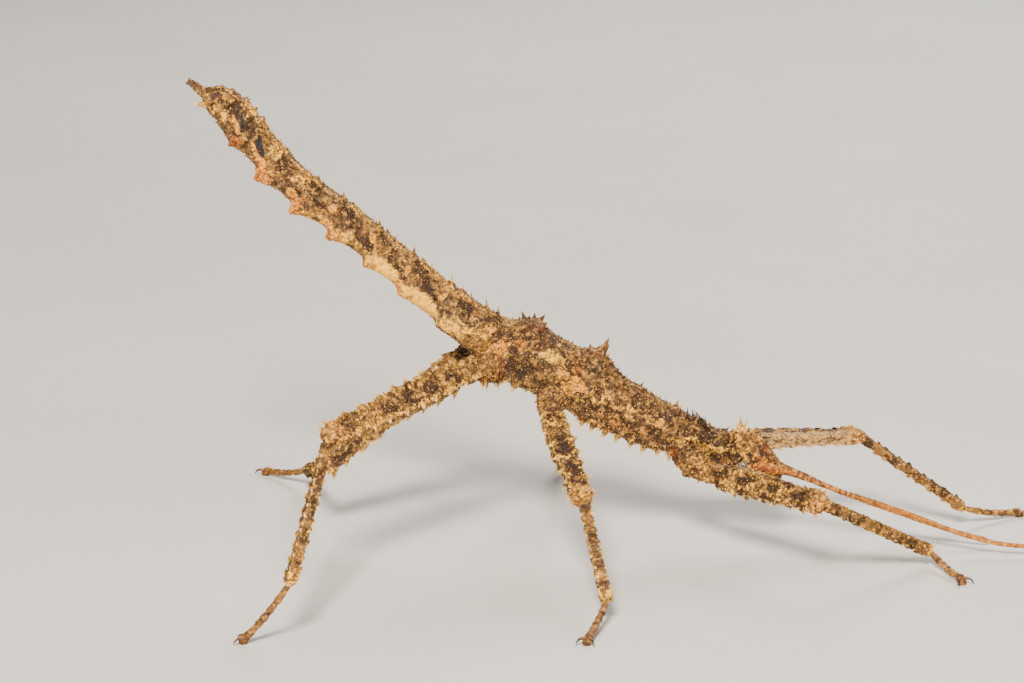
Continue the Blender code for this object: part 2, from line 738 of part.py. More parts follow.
def make_legs(thorax_names):
    """All the nodes of the six legs, each cut clear of what it grows from."""
    made = []
    for name in LEGS:
        leg = Leg(name)
        draw = random.Random(SEED + len(made))
        rows = TOOTH_ROWS[leg.pair]
        coxa = leg.coxa()
        coxa.name = "coxa_" + name
        combined(coxa, leg.coxa_spines(draw), "UNION")
        combined(coxa, [body_solid(part, GAP) for part in thorax_names], "DIFFERENCE")
        made.append(finish(coxa, leg.root, "bark_brown"))

        femur = leg.femur()
        femur.name = "femur_" + name
        thick = leg.size["femur"] * 0.92
        broad = leg.size["broad"]
        spikes = leg.teeth(leg.hip, leg.knee, leg.femur_up, thick, broad, rows[0], 0.16, 0.90,
                           0.42, draw)
        combined(femur, spikes + leg.knee_spines(draw), "UNION")
        combined(femur, [leg.coxa(GAP)], "DIFFERENCE")
        made.append(finish(femur, leg.hip, "leg_tan"))

        tibia = leg.tibia()
        tibia.name = "tibia_" + name
        thick = leg.size["tibia"] * 1.02
        broad = leg.size["shin_broad"]
        spikes = leg.teeth(leg.knee, leg.ankle, leg.tibia_up, thick, broad, rows[1], 0.18, 0.95,
                           0.30, draw)
        combined(tibia, spikes, "UNION")
        combined(tibia, [leg.femur(GAP)], "DIFFERENCE")
        made.append(finish(tibia, leg.knee, "leg_tan"))

        tarsus = leg.tarsus()
        tarsus.name = "tarsus_" + name
        combined(tarsus, [leg.tibia(GAP)], "DIFFERENCE")
        made.append(finish(tarsus, leg.ankle, "foot_brown"))
    return made


def palp(side):
    """A short jointed feeler beside the mouth."""
    start = body_point("head", 0.22, math.radians(150) * side)
    rear, up = LINE.frame("head", 0.2)[1:]
    out = Vector((0.0, side, 0.0))
    points = []
    for down, aside, ahead, radius in PALP_ROWS:
        points.append(start - up * down + out * aside - rear * ahead)
    return tube("palp", points, [row[-1] for row in PALP_ROWS], Vector((0.0, 1.0, 0.0)), 6)


def labrum():
    """The plate over the mouth at the front of the head."""
    middle, rear, up = LINE.frame("head", 0.0)
    rings = []
    for ahead, width, top, bottom in LABRUM_ROWS:
        centre = middle - rear * ahead
        ring = []
        for k in range(8):
            turn = 2 * math.pi * k / 8
            level = (top + bottom) / 2 + (top - bottom) / 2 * math.cos(turn)
            ring.append(centre + up * level + Vector((0.0, width * math.sin(turn), 0.0)))
        rings.append(ring)
    return skin_over("labrum", rings)


def ball(name, centre, radius, segments=12, rings=8):
    """A closed sphere."""
    shape = bmesh.new()
    bmesh.ops.create_uvsphere(shape, u_segments=segments, v_segments=rings, radius=radius)
    bmesh.ops.translate(shape, vec=centre, verts=shape.verts)
    mesh = bpy.data.meshes.new(name)
    shape.to_mesh(mesh)
    shape.free()
    return new_object(name, mesh)


def eye_centre(side):
    """The middle of an eye, sunk so that about half of it stands out."""
    angle = math.radians(EYE_ANGLE) * side
    return body_point("head", EYE_SHARE, angle) - body_normal("head", EYE_SHARE, angle) * 0.06


def make_head(draw):
    """The head with its palps and crown of spines, and the two eyes set into it."""
    head = body_solid("head")
    pieces = spines_of("head", draw) + [labrum(), palp(1), palp(-1)]
    combined(head, pieces, "UNION")
    sockets = [ball("socket", eye_centre(side), EYE_RADIUS + EYE_GAP) for side in (1, -1)]
    combined(head, sockets, "DIFFERENCE")
    root = LINE.frame("head", 1.0)[0]
    made = [finish(head, root, "head_brown")]
    for word, side in (("left", 1), ("right", -1)):
        eye = ball("eye_" + word, eye_centre(side), EYE_RADIUS)
        made.append(finish(eye, eye_centre(side), "eye_grey"))
    return made


def antenna_points(word, side):
    """Points of a smooth route from inside the head to the feeler's tip."""
    root_angle = math.radians(ANTENNA_ANGLE) * side
    root = body_point("head", ANTENNA_SHARE, root_angle)
    inside = body_point("head", ANTENNA_SHARE + 0.12, root_angle, swell=-0.7)
    route = [inside, root] + [Vector(point) for point in ANTENNA_ROUTES[word]]
    rows = [(0.0, *route[0])]
    for point in route[1:]:
        rows.append((rows[-1][0] + (point - Vector(rows[-1][1:])).length, *point))
    return rows


def make_antennae():
    """The two feelers: a broad flat scape, then a thin whip that tapers to its tip."""
    made = []
    for word, side in (("left", 1), ("right", -1)):
        rows = antenna_points(word, side)
        length = rows[-1][0]
        scape = rows[1][0] + 1.5
        stops = [0.0, rows[1][0], scape - 0.75, scape, scape + 0.35, scape + 1.0]
        count = 13
        for i in range(1, count + 1):
            stops.append(mixed(scape + 1.0, length, i / count))
        points = [Vector(smooth_through(rows, at)) for at in stops]
        radii = list(SCAPE_RADII)
        for i in range(1, count + 1):
            radii.append(mixed(ANTENNA_THICKNESS[0], ANTENNA_THICKNESS[1], i / count))
        radii[-1] = ANTENNA_TIP
        whip = tube("antenna_" + word, points, radii, Vector((0.0, 0.0, 1.0)), 6)
        combined(whip, [body_solid("head", GAP)], "DIFFERENCE")
        made.append(finish(whip, points[1], "feeler_brown"))
    return made


def epiproct():
    """The blunt tube that ends the abdomen."""
    middle, rear, up = LINE.frame("abdomen_segment_10", 1.0)
    points = [middle + rear * step for step in (-0.6, 0.2, 1.0, 1.7)]
    return tube("epiproct", points, (0.42, 0.34, 0.27, 0.30), up, 8)


def make_body(draw):
    """The thorax and the ten segments of the abdomen."""
    made = []
    for row in BODY_LINE[1:]:
        name = row[0]
        solid = body_solid(name)
        pieces = spines_of(name, draw)
        if name == "abdomen_segment_10":
            pieces.append(epiproct())
            pieces.append(body_spine(name, *EGG_PLATE_TIP))
        combined(solid, pieces, "UNION")
        colour = "abdomen_tan" if name.startswith("abdomen") else "bark_brown"
        made.append(finish(solid, LINE.frame(name, 0.0)[0], colour))
    return made


def place_on_origin(made):
    """Hang the sub-parts on one empty, with the origin on the floor under the middle."""
    bpy.context.view_layer.update()
    corners = [obj.matrix_world @ vertex.co for obj in made for vertex in obj.data.vertices]
    middle_x = (min(c.x for c in corners) + max(c.x for c in corners)) / 2
    middle_y = (min(c.y for c in corners) + max(c.y for c in corners)) / 2
    holder = bpy.data.objects.new("stick_insect", None)
    bpy.context.scene.collection.objects.link(holder)
    holder.location = (-middle_x, -middle_y, 0.0)
    for obj in made:
        obj.parent = holder
    print("middle of the box, mm:", round(middle_x / MM, 3), round(middle_y / MM, 3))


def main():
    clear_scene()
    draw = random.Random(SEED)
    made = make_head(draw)
    made += make_antennae()
    made += make_body(draw)
    made += make_legs(("prothorax", "mesothorax", "metathorax", "abdomen_segment_01"))
    place_on_origin(made)


main()
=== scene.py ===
"""Obrimus bicolanus, the spiny stick insect, with its granular cuticle, spines, eyes and claws.

Shapes are worked out in millimetres in the insect's own frame: +X towards the head, +Y to its
left, +Z up and the floor at Z = 0. One skin is drawn over the head, body, legs and feelers. The
finished pieces are scaled to metres and moved to where the solids stand.
"""

import math
import random

import bpy
import numpy as np
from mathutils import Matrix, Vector, kdtree, noise


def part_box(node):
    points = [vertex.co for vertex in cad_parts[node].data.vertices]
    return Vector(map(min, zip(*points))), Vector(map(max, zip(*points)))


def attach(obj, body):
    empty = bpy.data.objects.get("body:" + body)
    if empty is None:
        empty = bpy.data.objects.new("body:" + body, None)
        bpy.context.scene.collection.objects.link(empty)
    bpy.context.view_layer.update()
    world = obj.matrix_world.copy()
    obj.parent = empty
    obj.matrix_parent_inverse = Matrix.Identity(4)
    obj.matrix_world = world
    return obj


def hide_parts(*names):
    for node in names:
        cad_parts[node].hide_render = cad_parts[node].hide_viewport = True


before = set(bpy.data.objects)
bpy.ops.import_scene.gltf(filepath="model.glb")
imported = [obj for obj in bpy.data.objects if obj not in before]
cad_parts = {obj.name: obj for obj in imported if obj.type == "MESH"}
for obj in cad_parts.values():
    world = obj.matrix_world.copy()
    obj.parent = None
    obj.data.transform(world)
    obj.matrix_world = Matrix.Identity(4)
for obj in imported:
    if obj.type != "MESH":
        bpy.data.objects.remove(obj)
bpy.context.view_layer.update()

# Metres in a millimetre, the seed of all that is random, and the skin's grid in millimetres.
MM = 0.001
SEED = 7
VOXEL = 0.075

# The body line, from the front of the head, at this x and z, to the tip of the abdomen: the
# name of each length, how long it is, and how steeply it rises, in degrees.
HEAD_FRONT = (24.1, 6.9)
BODY_LINE = (
    ("head", 5.2, 22.0),
    ("prothorax", 3.4, 24.0),
    ("mesothorax", 12.1, 26.6),
    ("metathorax", 8.0, 23.8),
    ("abdomen_segment_01", 5.0, 35.5),
    ("abdomen_segment_02", 4.4, 40.0),
    ("abdomen_segment_03", 4.0, 40.5),
    ("abdomen_segment_04", 4.0, 38.5),
    ("abdomen_segment_05", 3.9, 37.0),
    ("abdomen_segment_06", 4.0, 45.0),
    ("abdomen_segment_07", 3.6, 53.0),
    ("abdomen_segment_08", 2.0, 50.0),
    ("abdomen_segment_09", 1.3, 46.0),
    ("abdomen_segment_10", 1.3, 37.0),
)
# Cross-sections of each length, front to rear: share of its length, half width, and the
# heights of the back, of the widest level and of the belly above or below the body line.
SECTIONS = {
    "head": (
        (0.00, 0.70, 0.20, -0.55, -1.20), (0.11, 1.00, 0.70, -0.50, -1.50),
        (0.32, 1.40, 1.45, -0.35, -1.80), (0.45, 1.60, 1.85, -0.30, -1.90),
        (0.70, 1.75, 1.80, -0.30, -1.90), (0.92, 1.50, 1.80, -0.20, -1.85),
        (0.98, 1.25, 1.45, -0.20, -1.75),
    ),
    "prothorax": (
        (0.04, 1.22, 1.20, -0.50, -1.80), (0.25, 1.45, 1.30, -0.50, -1.95),
        (0.55, 1.55, 1.05, -0.60, -2.10), (0.97, 1.60, 1.25, -0.60, -2.15),
    ),
    "mesothorax": (
        (0.01, 1.60, 1.20, -0.90, -2.10), (0.12, 1.90, 1.20, -1.20, -2.50),
        (0.25, 2.10, 1.30, -1.50, -2.90), (0.50, 2.45, 1.55, -1.80, -3.10),
        (0.70, 2.75, 1.90, -1.80, -3.20), (0.84, 2.95, 2.75, -1.60, -3.10),
        (0.94, 3.10, 2.75, -1.40, -2.90),
    ),
    "metathorax": (
        (0.01, 3.05, 2.40, -1.15, -2.70), (0.18, 3.35, 2.35, -1.00, -2.75),
        (0.42, 3.55, 2.70, -0.90, -2.70), (0.57, 3.55, 3.10, -0.90, -2.70),
        (0.70, 3.40, 2.90, -0.90, -2.60), (0.87, 2.90, 2.25, -0.80, -2.40),
        (0.98, 2.50, 2.20, -0.60, -2.20),
    ),
    "abdomen_segment_08": (
        (0.05, 1.65, 2.00, -0.20, -1.35), (0.50, 1.60, 2.05, -0.10, -1.25),
        (0.95, 1.50, 2.00, 0.00, -1.20),
    ),
    "abdomen_segment_09": (
        (0.08, 1.45, 1.95, 0.00, -1.15), (0.50, 1.38, 1.80, 0.05, -1.10),
        (0.92, 1.22, 1.62, 0.10, -1.00),
    ),
    "abdomen_segment_10": (
        (0.08, 1.15, 1.55, 0.10, -0.92), (0.40, 0.95, 1.25, 0.10, -0.80),
        (0.75, 0.70, 0.80, 0.10, -0.55), (1.00, 0.44, 0.46, 0.05, -0.40),
    ),
}
# The other abdomen segments, front end and rear end: half width, back and belly. The waist is
# how far each is drawn in between its ends. Then the shares where it has its sections, and how
# far down from back to belly it is widest.
ABDOMEN_ENDS = {
    "abdomen_segment_01": ((2.45, 2.25, -1.90), (2.05, 2.10, -1.50)),
    "abdomen_segment_02": ((2.00, 2.05, -1.35), (1.90, 2.00, -1.35)),
    "abdomen_segment_03": ((1.85, 1.95, -1.15), (1.80, 1.90, -1.25)),
    "abdomen_segment_04": ((1.75, 1.95, -1.05), (1.75, 2.00, -1.20)),
    "abdomen_segment_05": ((1.70, 2.00, -0.98), (1.70, 2.00, -1.18)),
    "abdomen_segment_06": ((1.65, 1.95, -0.95), (1.70, 2.05, -1.18)),
    "abdomen_segment_07": ((1.65, 2.00, -0.95), (1.70, 2.10, -1.15)),
}
ABDOMEN_WAIST = 0.08
ABDOMEN_SHARES = (0.05, 0.30, 0.60, 0.88)
WIDEST_SHARE = 0.6
# The power that makes the body's section a little square, the sides of the body's solid and
# the step between its rings, and the front of the head: shares of its first ring, and depth.
BODY_POWER = 0.9
BODY_SIDES = 112
BODY_STEP = 0.11
FRONT_SHARES = (0.10, 0.45, 0.75, 0.93)
FRONT_DEPTH = 0.35
# The flap at each rear corner of a segment's belly: how far it stands out, how late it rises,
# its angle and spread round the body, the shares of the segment where it is highest and where
# it ends, and how steeply it falls.
FLAP_HEIGHTS = (0.45, 0.62, 0.78, 0.95, 1.08, 1.18, 0.90)
FLAP_POWERS = (1.2, 1.2, 1.3, 1.9, 2.4, 2.6, 2.4)
FLAP_ANGLE = 127.0
FLAP_SPREAD = 27.0
FLAP_CREST = 0.90
FLAP_END = 1.08
FLAP_FALL = 0.7

# Spines on each length: share of its length, angle from the middle of the back, height and
# half width at the root, lean to the rear in degrees, and their colour.
SPINES = {
    "head": (
        (0.98, 14, 0.60, 0.22, 20, "tan"), (0.90, 16, 1.15, 0.34, 4, "cream"),
        (0.80, 20, 0.75, 0.26, -6, "cream"), (0.68, 21, 0.80, 0.28, -18, "orange"),
        (0.56, 26, 0.45, 0.22, -20, "orange"), (0.93, 40, 0.60, 0.24, 8, "cream"),
        (0.78, 46, 0.50, 0.22, -4, "orange"), (0.64, 52, 0.35, 0.20, -8, "orange"),
        (0.95, 66, 0.45, 0.22, 8, "tan"),
    ),
    "prothorax": (
        (0.22, 26, 0.70, 0.24, 0, "tan"), (0.92, 13, 1.25, 0.17, 32, "black"),
        (0.99, 20, 0.75, 0.14, 28, "black"), (0.80, 20, 0.60, 0.14, 30, "black"),
        (0.66, 28, 0.50, 0.14, 25, "black"), (0.55, 62, 0.40, 0.22, 0, "tan"),
    ),
    "mesothorax": (
        (0.05, 14, 0.80, 0.14, 25, "black"), (0.09, 22, 0.60, 0.14, 20, "black"),
        (0.19, 17, 0.95, 0.34, 0, "tan"), (0.13, 36, 0.50, 0.24, 0, "tan"),
        (0.34, 14, 0.40, 0.22, 0, "tan"), (0.49, 16, 0.65, 0.24, 0, "brown"),
        (0.64, 14, 0.35, 0.20, 0, "tan"), (0.76, 16, 0.40, 0.22, 0, "orange"),
        (0.82, 18, 0.50, 0.24, 5, "orange"), (0.88, 15, 1.60, 0.62, -12, "red"),
        (0.95, 22, 0.50, 0.22, 0, "brown"), (0.62, 34, 0.40, 0.24, 0, "tan"),
    ),
    "metathorax": (
        (0.12, 15, 0.40, 0.22, 0, "tan"), (0.30, 16, 0.35, 0.20, 0, "tan"),
        (0.20, 34, 0.40, 0.22, 0, "tan"), (0.54, 15, 0.90, 0.44, -8, "red"),
        (0.62, 22, 0.60, 0.34, 0, "brown"), (0.71, 20, 0.70, 0.38, 5, "brown"),
        (0.84, 18, 0.40, 0.20, 10, "tan"), (0.40, 40, 0.40, 0.24, 0, "tan"),
    ),
    "abdomen_segment_01": (
        (0.08, 15, 0.75, 0.20, 15, "bristle"), (0.34, 15, 0.90, 0.22, 25, "bristle"),
    ),
}
# What each colour means: paleness at the root, paleness gained by the tip, redness, darkness.
SPINE_TINTS = {
    "tan": (0.15, 0.80, 0.10, 0.0),
    "cream": (0.32, 0.75, 0.05, -0.6),
    "orange": (0.25, 0.45, 0.55, -0.6),
    "red": (0.12, 0.42, 0.36, 0.0),
    "brown": (0.05, 0.55, 0.20, 0.3),
    "black": (0.0, 0.12, 0.0, 1.4),
    "bristle": (0.0, 0.80, 0.0, 0.35),
    "tooth": (0.10, 1.25, 0.05, -0.3),
    "grain": (0.05, 0.50, 0.05, 0.0),
}
# Rows along the flanks: first and last share, number, angle, heights at the row's ends, and
# half width.
FLANK_ROWS = {
    "prothorax": ((0.20, 0.75, 2, 98, 0.40, 0.45, 0.22),),
    "mesothorax": ((0.10, 0.80, 8, 139, 1.05, 1.35, 0.55), (0.14, 0.84, 9, 122, 0.40, 0.55, 0.26),
                   (0.20, 0.90, 7, 76, 0.35, 0.45, 0.24), (0.25, 0.80, 5, 98, 0.28, 0.35, 0.20)),
    "metathorax": ((0.58, 0.94, 4, 137, 1.10, 1.30, 0.54), (0.30, 0.90, 6, 116, 0.40, 0.60, 0.26),
                   (0.22, 0.85, 5, 74, 0.35, 0.40, 0.24), (0.45, 0.80, 3, 96, 0.30, 0.35, 0.20)),
}
# The pairs of each abdomen segment: height at the rear edge of the back, and farther forward,
# then the degrees that they lean to the rear.
ABDOMEN_SPINES = ((0.95, 0.55), (0.95, 0.50), (0.90, 0.45), (0.70, 0.38), (0.45, 0.30),
                  (0.45, 0.30), (0.45, 0.30))
REAR_SPINE_LEAN = 30

# Each leg by the places of its joints: the coxa's root inside the thorax, the hip between
# coxa and femur, the knee, the ankle and the foot's pad on the floor.
LEGS = {
    "fore_right": ((15.1, -0.6, 8.8), (17.0, -2.7, 7.4), (26.6, -12.5, 7.4),
                   (36.8, -6.9, 1.3), (38.9, -12.2, 0.0)),
    "fore_left": ((15.6, 0.8, 9.2), (17.2, 3.1, 8.6), (31.3, 3.4, 9.0),
                  (41.2, 4.6, 1.8), (46.7, 7.7, 0.0)),
    "mid_right": ((4.3, -1.4, 14.8), (3.0, -3.9, 13.8), (6.1, -13.5, 8.0),
                  (7.9, -23.0, 2.1), (6.2, -28.1, 0.0)),
    "mid_left": ((4.3, 1.4, 14.8), (3.0, 3.9, 13.8), (4.2, 12.6, 6.6),
                 (5.0, 22.9, 1.8), (5.3, 28.3, 0.0)),
    "hind_right": ((0.0, -1.6, 17.0), (-3.1, -3.3, 17.1), (-15.4, -16.5, 14.5),
                   (-18.1, -28.4, 5.4), (-21.9, -27.9, 0.0)),
    "hind_left": ((0.0, 1.6, 17.4), (-3.1, 3.3, 17.6), (-17.0, 2.7, 6.2),
                  (-19.4, 17.0, 1.8), (-23.6, 21.4, 0.0)),
}
# Half thicknesses of each pair of legs in the plane that the leg bends in: coxa, femur, knee,
# tibia and the tibia's end. Broad says how many times wider they are across that plane.
LEG_SIZES = {
    "fore": {"coxa": 1.30, "femur": 0.62, "knee": 0.62, "tibia": 0.37, "end": 0.46,
             "broad": 1.70, "shin_broad": 1.30},
    "mid": {"coxa": 1.20, "femur": 1.00, "knee": 0.90, "tibia": 0.45, "end": 0.56,
            "broad": 0.95, "shin_broad": 1.00},
    "hind": {"coxa": 1.30, "femur": 1.22, "knee": 1.05, "tibia": 0.43, "end": 0.54,
             "broad": 0.80, "shin_broad": 1.00},
}
# Teeth on the keels of each pair's thighs: height of the large ones and how far apart, then
# the angles of the keels round each thigh, and the power that makes a thigh square in section.
KEEL_TEETH = {"fore": (0.66, 1.40), "mid": (0.90, 1.35), "hind": (1.00, 1.65)}
SQUARE_TURNS = (45, 135, 225, 315)
KEEL_TURNS = {"fore": (66, 114, 246, 294), "mid": SQUARE_TURNS, "hind": SQUARE_TURNS}
KEEL_POWER = 0.58
# The spines under each pair's coxae: number and length of the longest, and how many small
# ones stand round each coxa.
COXA_SPINES = {"fore": (4, 0.50), "mid": (4, 0.55), "hind": (7, 1.15)}
SMALL_COXA_SPINES = 26
# The foot: height of its end over the floor, sag as a share of its length, the shares where
# its joints end, and half thickness at the ankle and at the end.
TARSUS_HEIGHT = 0.50
TARSUS_SAG = 0.08
TARSOMERE_ENDS = (0.0, 0.30, 0.46, 0.60, 0.72, 1.0)
TARSUS_THICKNESS = 0.30
TARSUS_END_THICKNESS = 0.36
# Half thickness along the coxa as a share of the largest, and the raised rim of its socket:
# where it lies along the coxa, how wide it is in half thicknesses, and how thick in mm.
COXA_PROFILE = ((0.0, 0.90), (0.35, 1.00), (0.70, 0.97), (0.90, 0.84), (1.0, 0.66), (1.04, 0.45))
COLLAR_SHARE = 0.64
COLLAR_WIDTH = 1.06
COLLAR_THICKNESS = 0.20
# The pad of the foot: height over the floor and radius, and how far ahead it lies.
PAD_PROFILE = ((0.0, 0.33), (0.06, 0.38), (0.18, 0.42), (0.32, 0.41), (0.48, 0.34), (0.62, 0.18))
PAD_AHEAD = 0.15

# The eye: radius, share of the head's length, angle from the middle of the back, and how deep
# its middle lies under the surface.
EYE_RADIUS = 0.40
EYE_SHARE = 0.68
EYE_ANGLE = 99.0
EYE_SINK = 0.06

# The feelers: share of the head's length and angle of their sockets, how much farther back and
# how deep their roots lie, the length of the thick first joint and of the whip's joints, how
# far those swell, and the way of each feeler.
ANTENNA_SHARE = 0.36
ANTENNA_ANGLE = 84.0
ANTENNA_BACK = 0.12
ANTENNA_DEPTH = 0.7
SCAPE_LENGTH = 1.5
WHIP_JOINT = 0.62
WHIP_SWELL = 0.05
ANTENNA_ROUTES = {
    "right": ((25.6, -1.5, 6.6), (29.3, -1.9, 5.3), (33.2, -2.3, 4.1), (36.6, -2.9, 3.0),
              (39.6, -3.6, 2.0), (43.0, -4.2, 1.2), (46.8, -4.6, 0.9)),
    "left": ((25.8, 0.4, 6.3), (29.4, 0.1, 4.7), (33.3, -0.5, 3.4), (36.7, -1.0, 2.3),
             (39.7, -1.4, 1.4), (42.6, -1.8, 0.8)),
}

# Swellings and hollows of the body: distance from the front, angle, half length, half angle
# and height.
BUMPS = (
    (4.70, 22, 0.50, 15, 0.30), (3.60, 26, 0.90, 11, 0.16), (3.90, 0, 1.30, 9, -0.16),
    (2.10, 34, 1.00, 13, 0.14), (1.30, 0, 0.80, 14, -0.12), (2.70, 66, 1.00, 12, 0.15),
    (4.40, 78, 0.60, 14, 0.16), (4.30, 108, 0.70, 14, -0.14), (2.90, 128, 1.20, 12, 0.16),
    (0.90, 96, 0.60, 20, 0.12), (6.90, 30, 1.00, 16, 0.16), (7.00, 58, 1.20, 12, -0.12),
    (7.10, 77, 1.70, 8, 0.22), (7.20, 104, 1.50, 13, -0.16), (10.20, 24, 1.10, 15, 0.15),
    (14.00, 42, 2.60, 10, -0.09), (14.40, 60, 3.00, 9, 0.12), (16.20, 76, 2.40, 8, -0.14),
    (18.60, 34, 1.00, 16, 0.20), (18.95, 64, 0.34, 10, 0.20), (21.60, 52, 1.00, 9, -0.16),
    (20.90, 65, 1.20, 6, 0.22), (23.50, 50, 1.40, 11, 0.14), (25.60, 80, 1.20, 12, -0.16),
    (26.40, 52, 0.90, 12, 0.14), (25.20, 24, 1.10, 18, 0.16), (25.70, 38, 0.80, 9, -0.10),
    (28.00, 70, 1.20, 12, 0.12), (27.00, 98, 1.10, 10, -0.14), (46.00, 74, 0.34, 26, -0.20),
    (45.60, 66, 0.80, 30, 0.12), (49.70, 68, 0.28, 24, -0.18), (50.60, 70, 0.60, 34, 0.10),
)
# Rims round the eye and the feeler's socket: share of the head's length, angle, degrees to
# the millimetre, height, radius and width.
RIMS = (
    (EYE_SHARE, EYE_ANGLE, 33.0, 0.12, 0.52, 0.12),
    (ANTENNA_SHARE, ANTENNA_ANGLE, 36.0, 0.14, 0.56, 0.13),
)
# Long ridges and grooves: where they rise, are full, fall and end along the body, their angle,
# width and height.
RIDGES = (
    (6.0, 8.0, 52.0, 56.0, 0.0, 5.0, 0.10),
    (6.0, 8.0, 52.0, 56.0, 74.0, 7.0, 0.12),
    (9.0, 11.0, 26.0, 28.5, 115.0, 8.0, 0.16),
    (9.0, 11.0, 26.0, 28.5, 96.0, 9.0, -0.10),
)
# The fold at the front of each segment, deeper on the abdomen, and the swelling ahead of it.
THORAX_FOLD = 0.13
ABDOMEN_FOLD = 0.16
FOLD_WIDTH = 0.16
SWELL_HEIGHT = 0.09
SWELL_AHEAD = 0.42
SWELL_WIDTH = 0.22

# Where each length of the body begins, and how long it is.
SEGMENT_STARTS = {}
_at = 0.0
for _name, _length, _ in BODY_LINE:
    SEGMENT_STARTS[_name] = (_at, _length)
    _at += _length
BODY_LENGTH = _at
HEAD_LENGTH = BODY_LINE[0][1]
SEGMENT_NAMES = [row[0] for row in BODY_LINE]


def row_of(values):
    """One number or several, as a row of numbers."""
    return np.atleast_1d(np.asarray(values, float))


def through(rows, at):
    """Values at these places, as an array, on a smooth curve through the rows."""
    rows = np.asarray(rows, float)
    at = row_of(at)
    last = len(rows) - 1
    index = np.clip(np.searchsorted(rows[:, 0], at, side="left") - 1, 0, last - 1)
    before = rows[np.maximum(index - 1, 0)]
    start = rows[index]
    end = rows[index + 1]
    after = rows[np.minimum(index + 2, last)]
    span = end[:, :1] - start[:, :1]
    u = (at[:, None] - start[:, :1]) / span
    rise_in = (end - before) / (end[:, :1] - before[:, :1]) * span
    rise_out = (after - start) / (after[:, :1] - start[:, :1]) * span
    value = (
        (2 * u**3 - 3 * u**2 + 1) * start
        + (u**3 - 2 * u**2 + u) * rise_in
        + (3 * u**2 - 2 * u**3) * end
        + (u**3 - u**2) * rise_out
    )
    return value[:, 1:]


def unit(vectors):
    """The same vectors, one unit long."""
    vectors = np.asarray(vectors, float)
    return vectors / np.maximum(np.linalg.norm(vectors, axis=-1, keepdims=True), 1e-9)


def smooth_step(low, high, value):
    """0 below low, 1 above high and a smooth rise between."""
    share = np.clip((value - low) / (high - low), 0.0, 1.0)
    return share * share * (3 - 2 * share)


def line_rows():
    """The body line as rows of distance, x and z."""
    rows = [(0.0, HEAD_FRONT[0], HEAD_FRONT[1])]
    for _, length, pitch in BODY_LINE:
        at, x, z = rows[-1]
        slope = math.radians(pitch)
        rows.append((at + length, x - length * math.cos(slope), z + length * math.sin(slope)))
    return rows


def section_rows():
    """Half width, back, widest level and belly along the whole body."""
    rows = []
    for name, length, _ in BODY_LINE:
        start = SEGMENT_STARTS[name][0]
        if name in SECTIONS:
            for share, width, back, widest, belly in SECTIONS[name]:
                rows.append((start + share * length, width, back, widest, belly))
            continue
        front, rear = ABDOMEN_ENDS[name]
        for share in ABDOMEN_SHARES:
            waist = ABDOMEN_WAIST * math.sin(math.pi * share)
            width, back, belly = (f + (r - f) * share for f, r in zip(front, rear))
            widest = back - waist + (belly - back + 2 * waist) * WIDEST_SHARE
            rows.append((start + share * length, width - waist, back - waist, widest,
                         belly + waist))
    return rows


LINE_ROWS = line_rows()
SECTION_ROWS = section_rows()


def frame_at(at):
    """Points of the body line, directions to the rear and directions of the back."""
    at = row_of(at)
    step = 0.05
    here = through(LINE_ROWS, at)
    there = through(LINE_ROWS, at + step)
    rear = unit(np.stack([there[:, 0] - here[:, 0], 0 * at, there[:, 1] - here[:, 1]], axis=1))
    point = np.stack([here[:, 0], 0 * at, here[:, 1]], axis=1)
    up = np.stack([rear[:, 2], 0 * at, -rear[:, 0]], axis=1)
    return point, rear, up


def frame_here(at):
    """One point of the body line, with its directions to the rear and of the back."""
    return [values[0] for values in frame_at(at)]


def flap(at, angle):
    """How far the flaps at the rear corners of the belly stand out."""
    out = np.zeros(np.broadcast(at, angle).shape)
    for number, (height, power) in enumerate(zip(FLAP_HEIGHTS, FLAP_POWERS), 1):
        start, length = SEGMENT_STARTS["abdomen_segment_%02d" % number]
        share = (at - start) / length
        inside = (share > 0) & (share < FLAP_END)
        rise = np.clip(share / FLAP_CREST, 0, 1) ** power
        fall = np.clip((FLAP_END - share) / (FLAP_END - FLAP_CREST), 0, 1) ** FLAP_FALL
        off = (np.abs(np.degrees(angle)) - FLAP_ANGLE) / FLAP_SPREAD
        out = out + np.where(inside, height * rise * fall * np.exp(-off * off), 0.0)
    return out


def relief(at, angle):
    """Fine sculpture of the body: bumps, rims, folds between segments, ridges and grooves."""
    degrees = np.abs(np.degrees(angle))
    out = np.zeros(np.broadcast(at, angle).shape)
    for middle, turn, long, wide, height in BUMPS:
        out = out + height * np.exp(-(((at - middle) / long) ** 2) - ((degrees - turn) / wide) ** 2)
    for share, turn, per_mm, height, radius, wide in RIMS:
        reach = np.hypot(at - share * HEAD_LENGTH, (degrees - turn) / per_mm)
        out = out + height * np.exp(-(((reach - radius) / wide) ** 2))
    for name in SEGMENT_NAMES[1:]:
        start = SEGMENT_STARTS[name][0]
        depth = ABDOMEN_FOLD if name.startswith("abdomen") else THORAX_FOLD
        out = out - depth * np.exp(-(((at - start) / FOLD_WIDTH) ** 2))
        out = out + SWELL_HEIGHT * np.exp(-(((at - start + SWELL_AHEAD) / SWELL_WIDTH) ** 2))
    for rise, full, fall, end, turn, wide, height in RIDGES:
        within = smooth_step(rise, full, at) * (1 - smooth_step(fall, end, at))
        out = out + within * height * np.exp(-(((degrees - turn) / wide) ** 2))
    return out


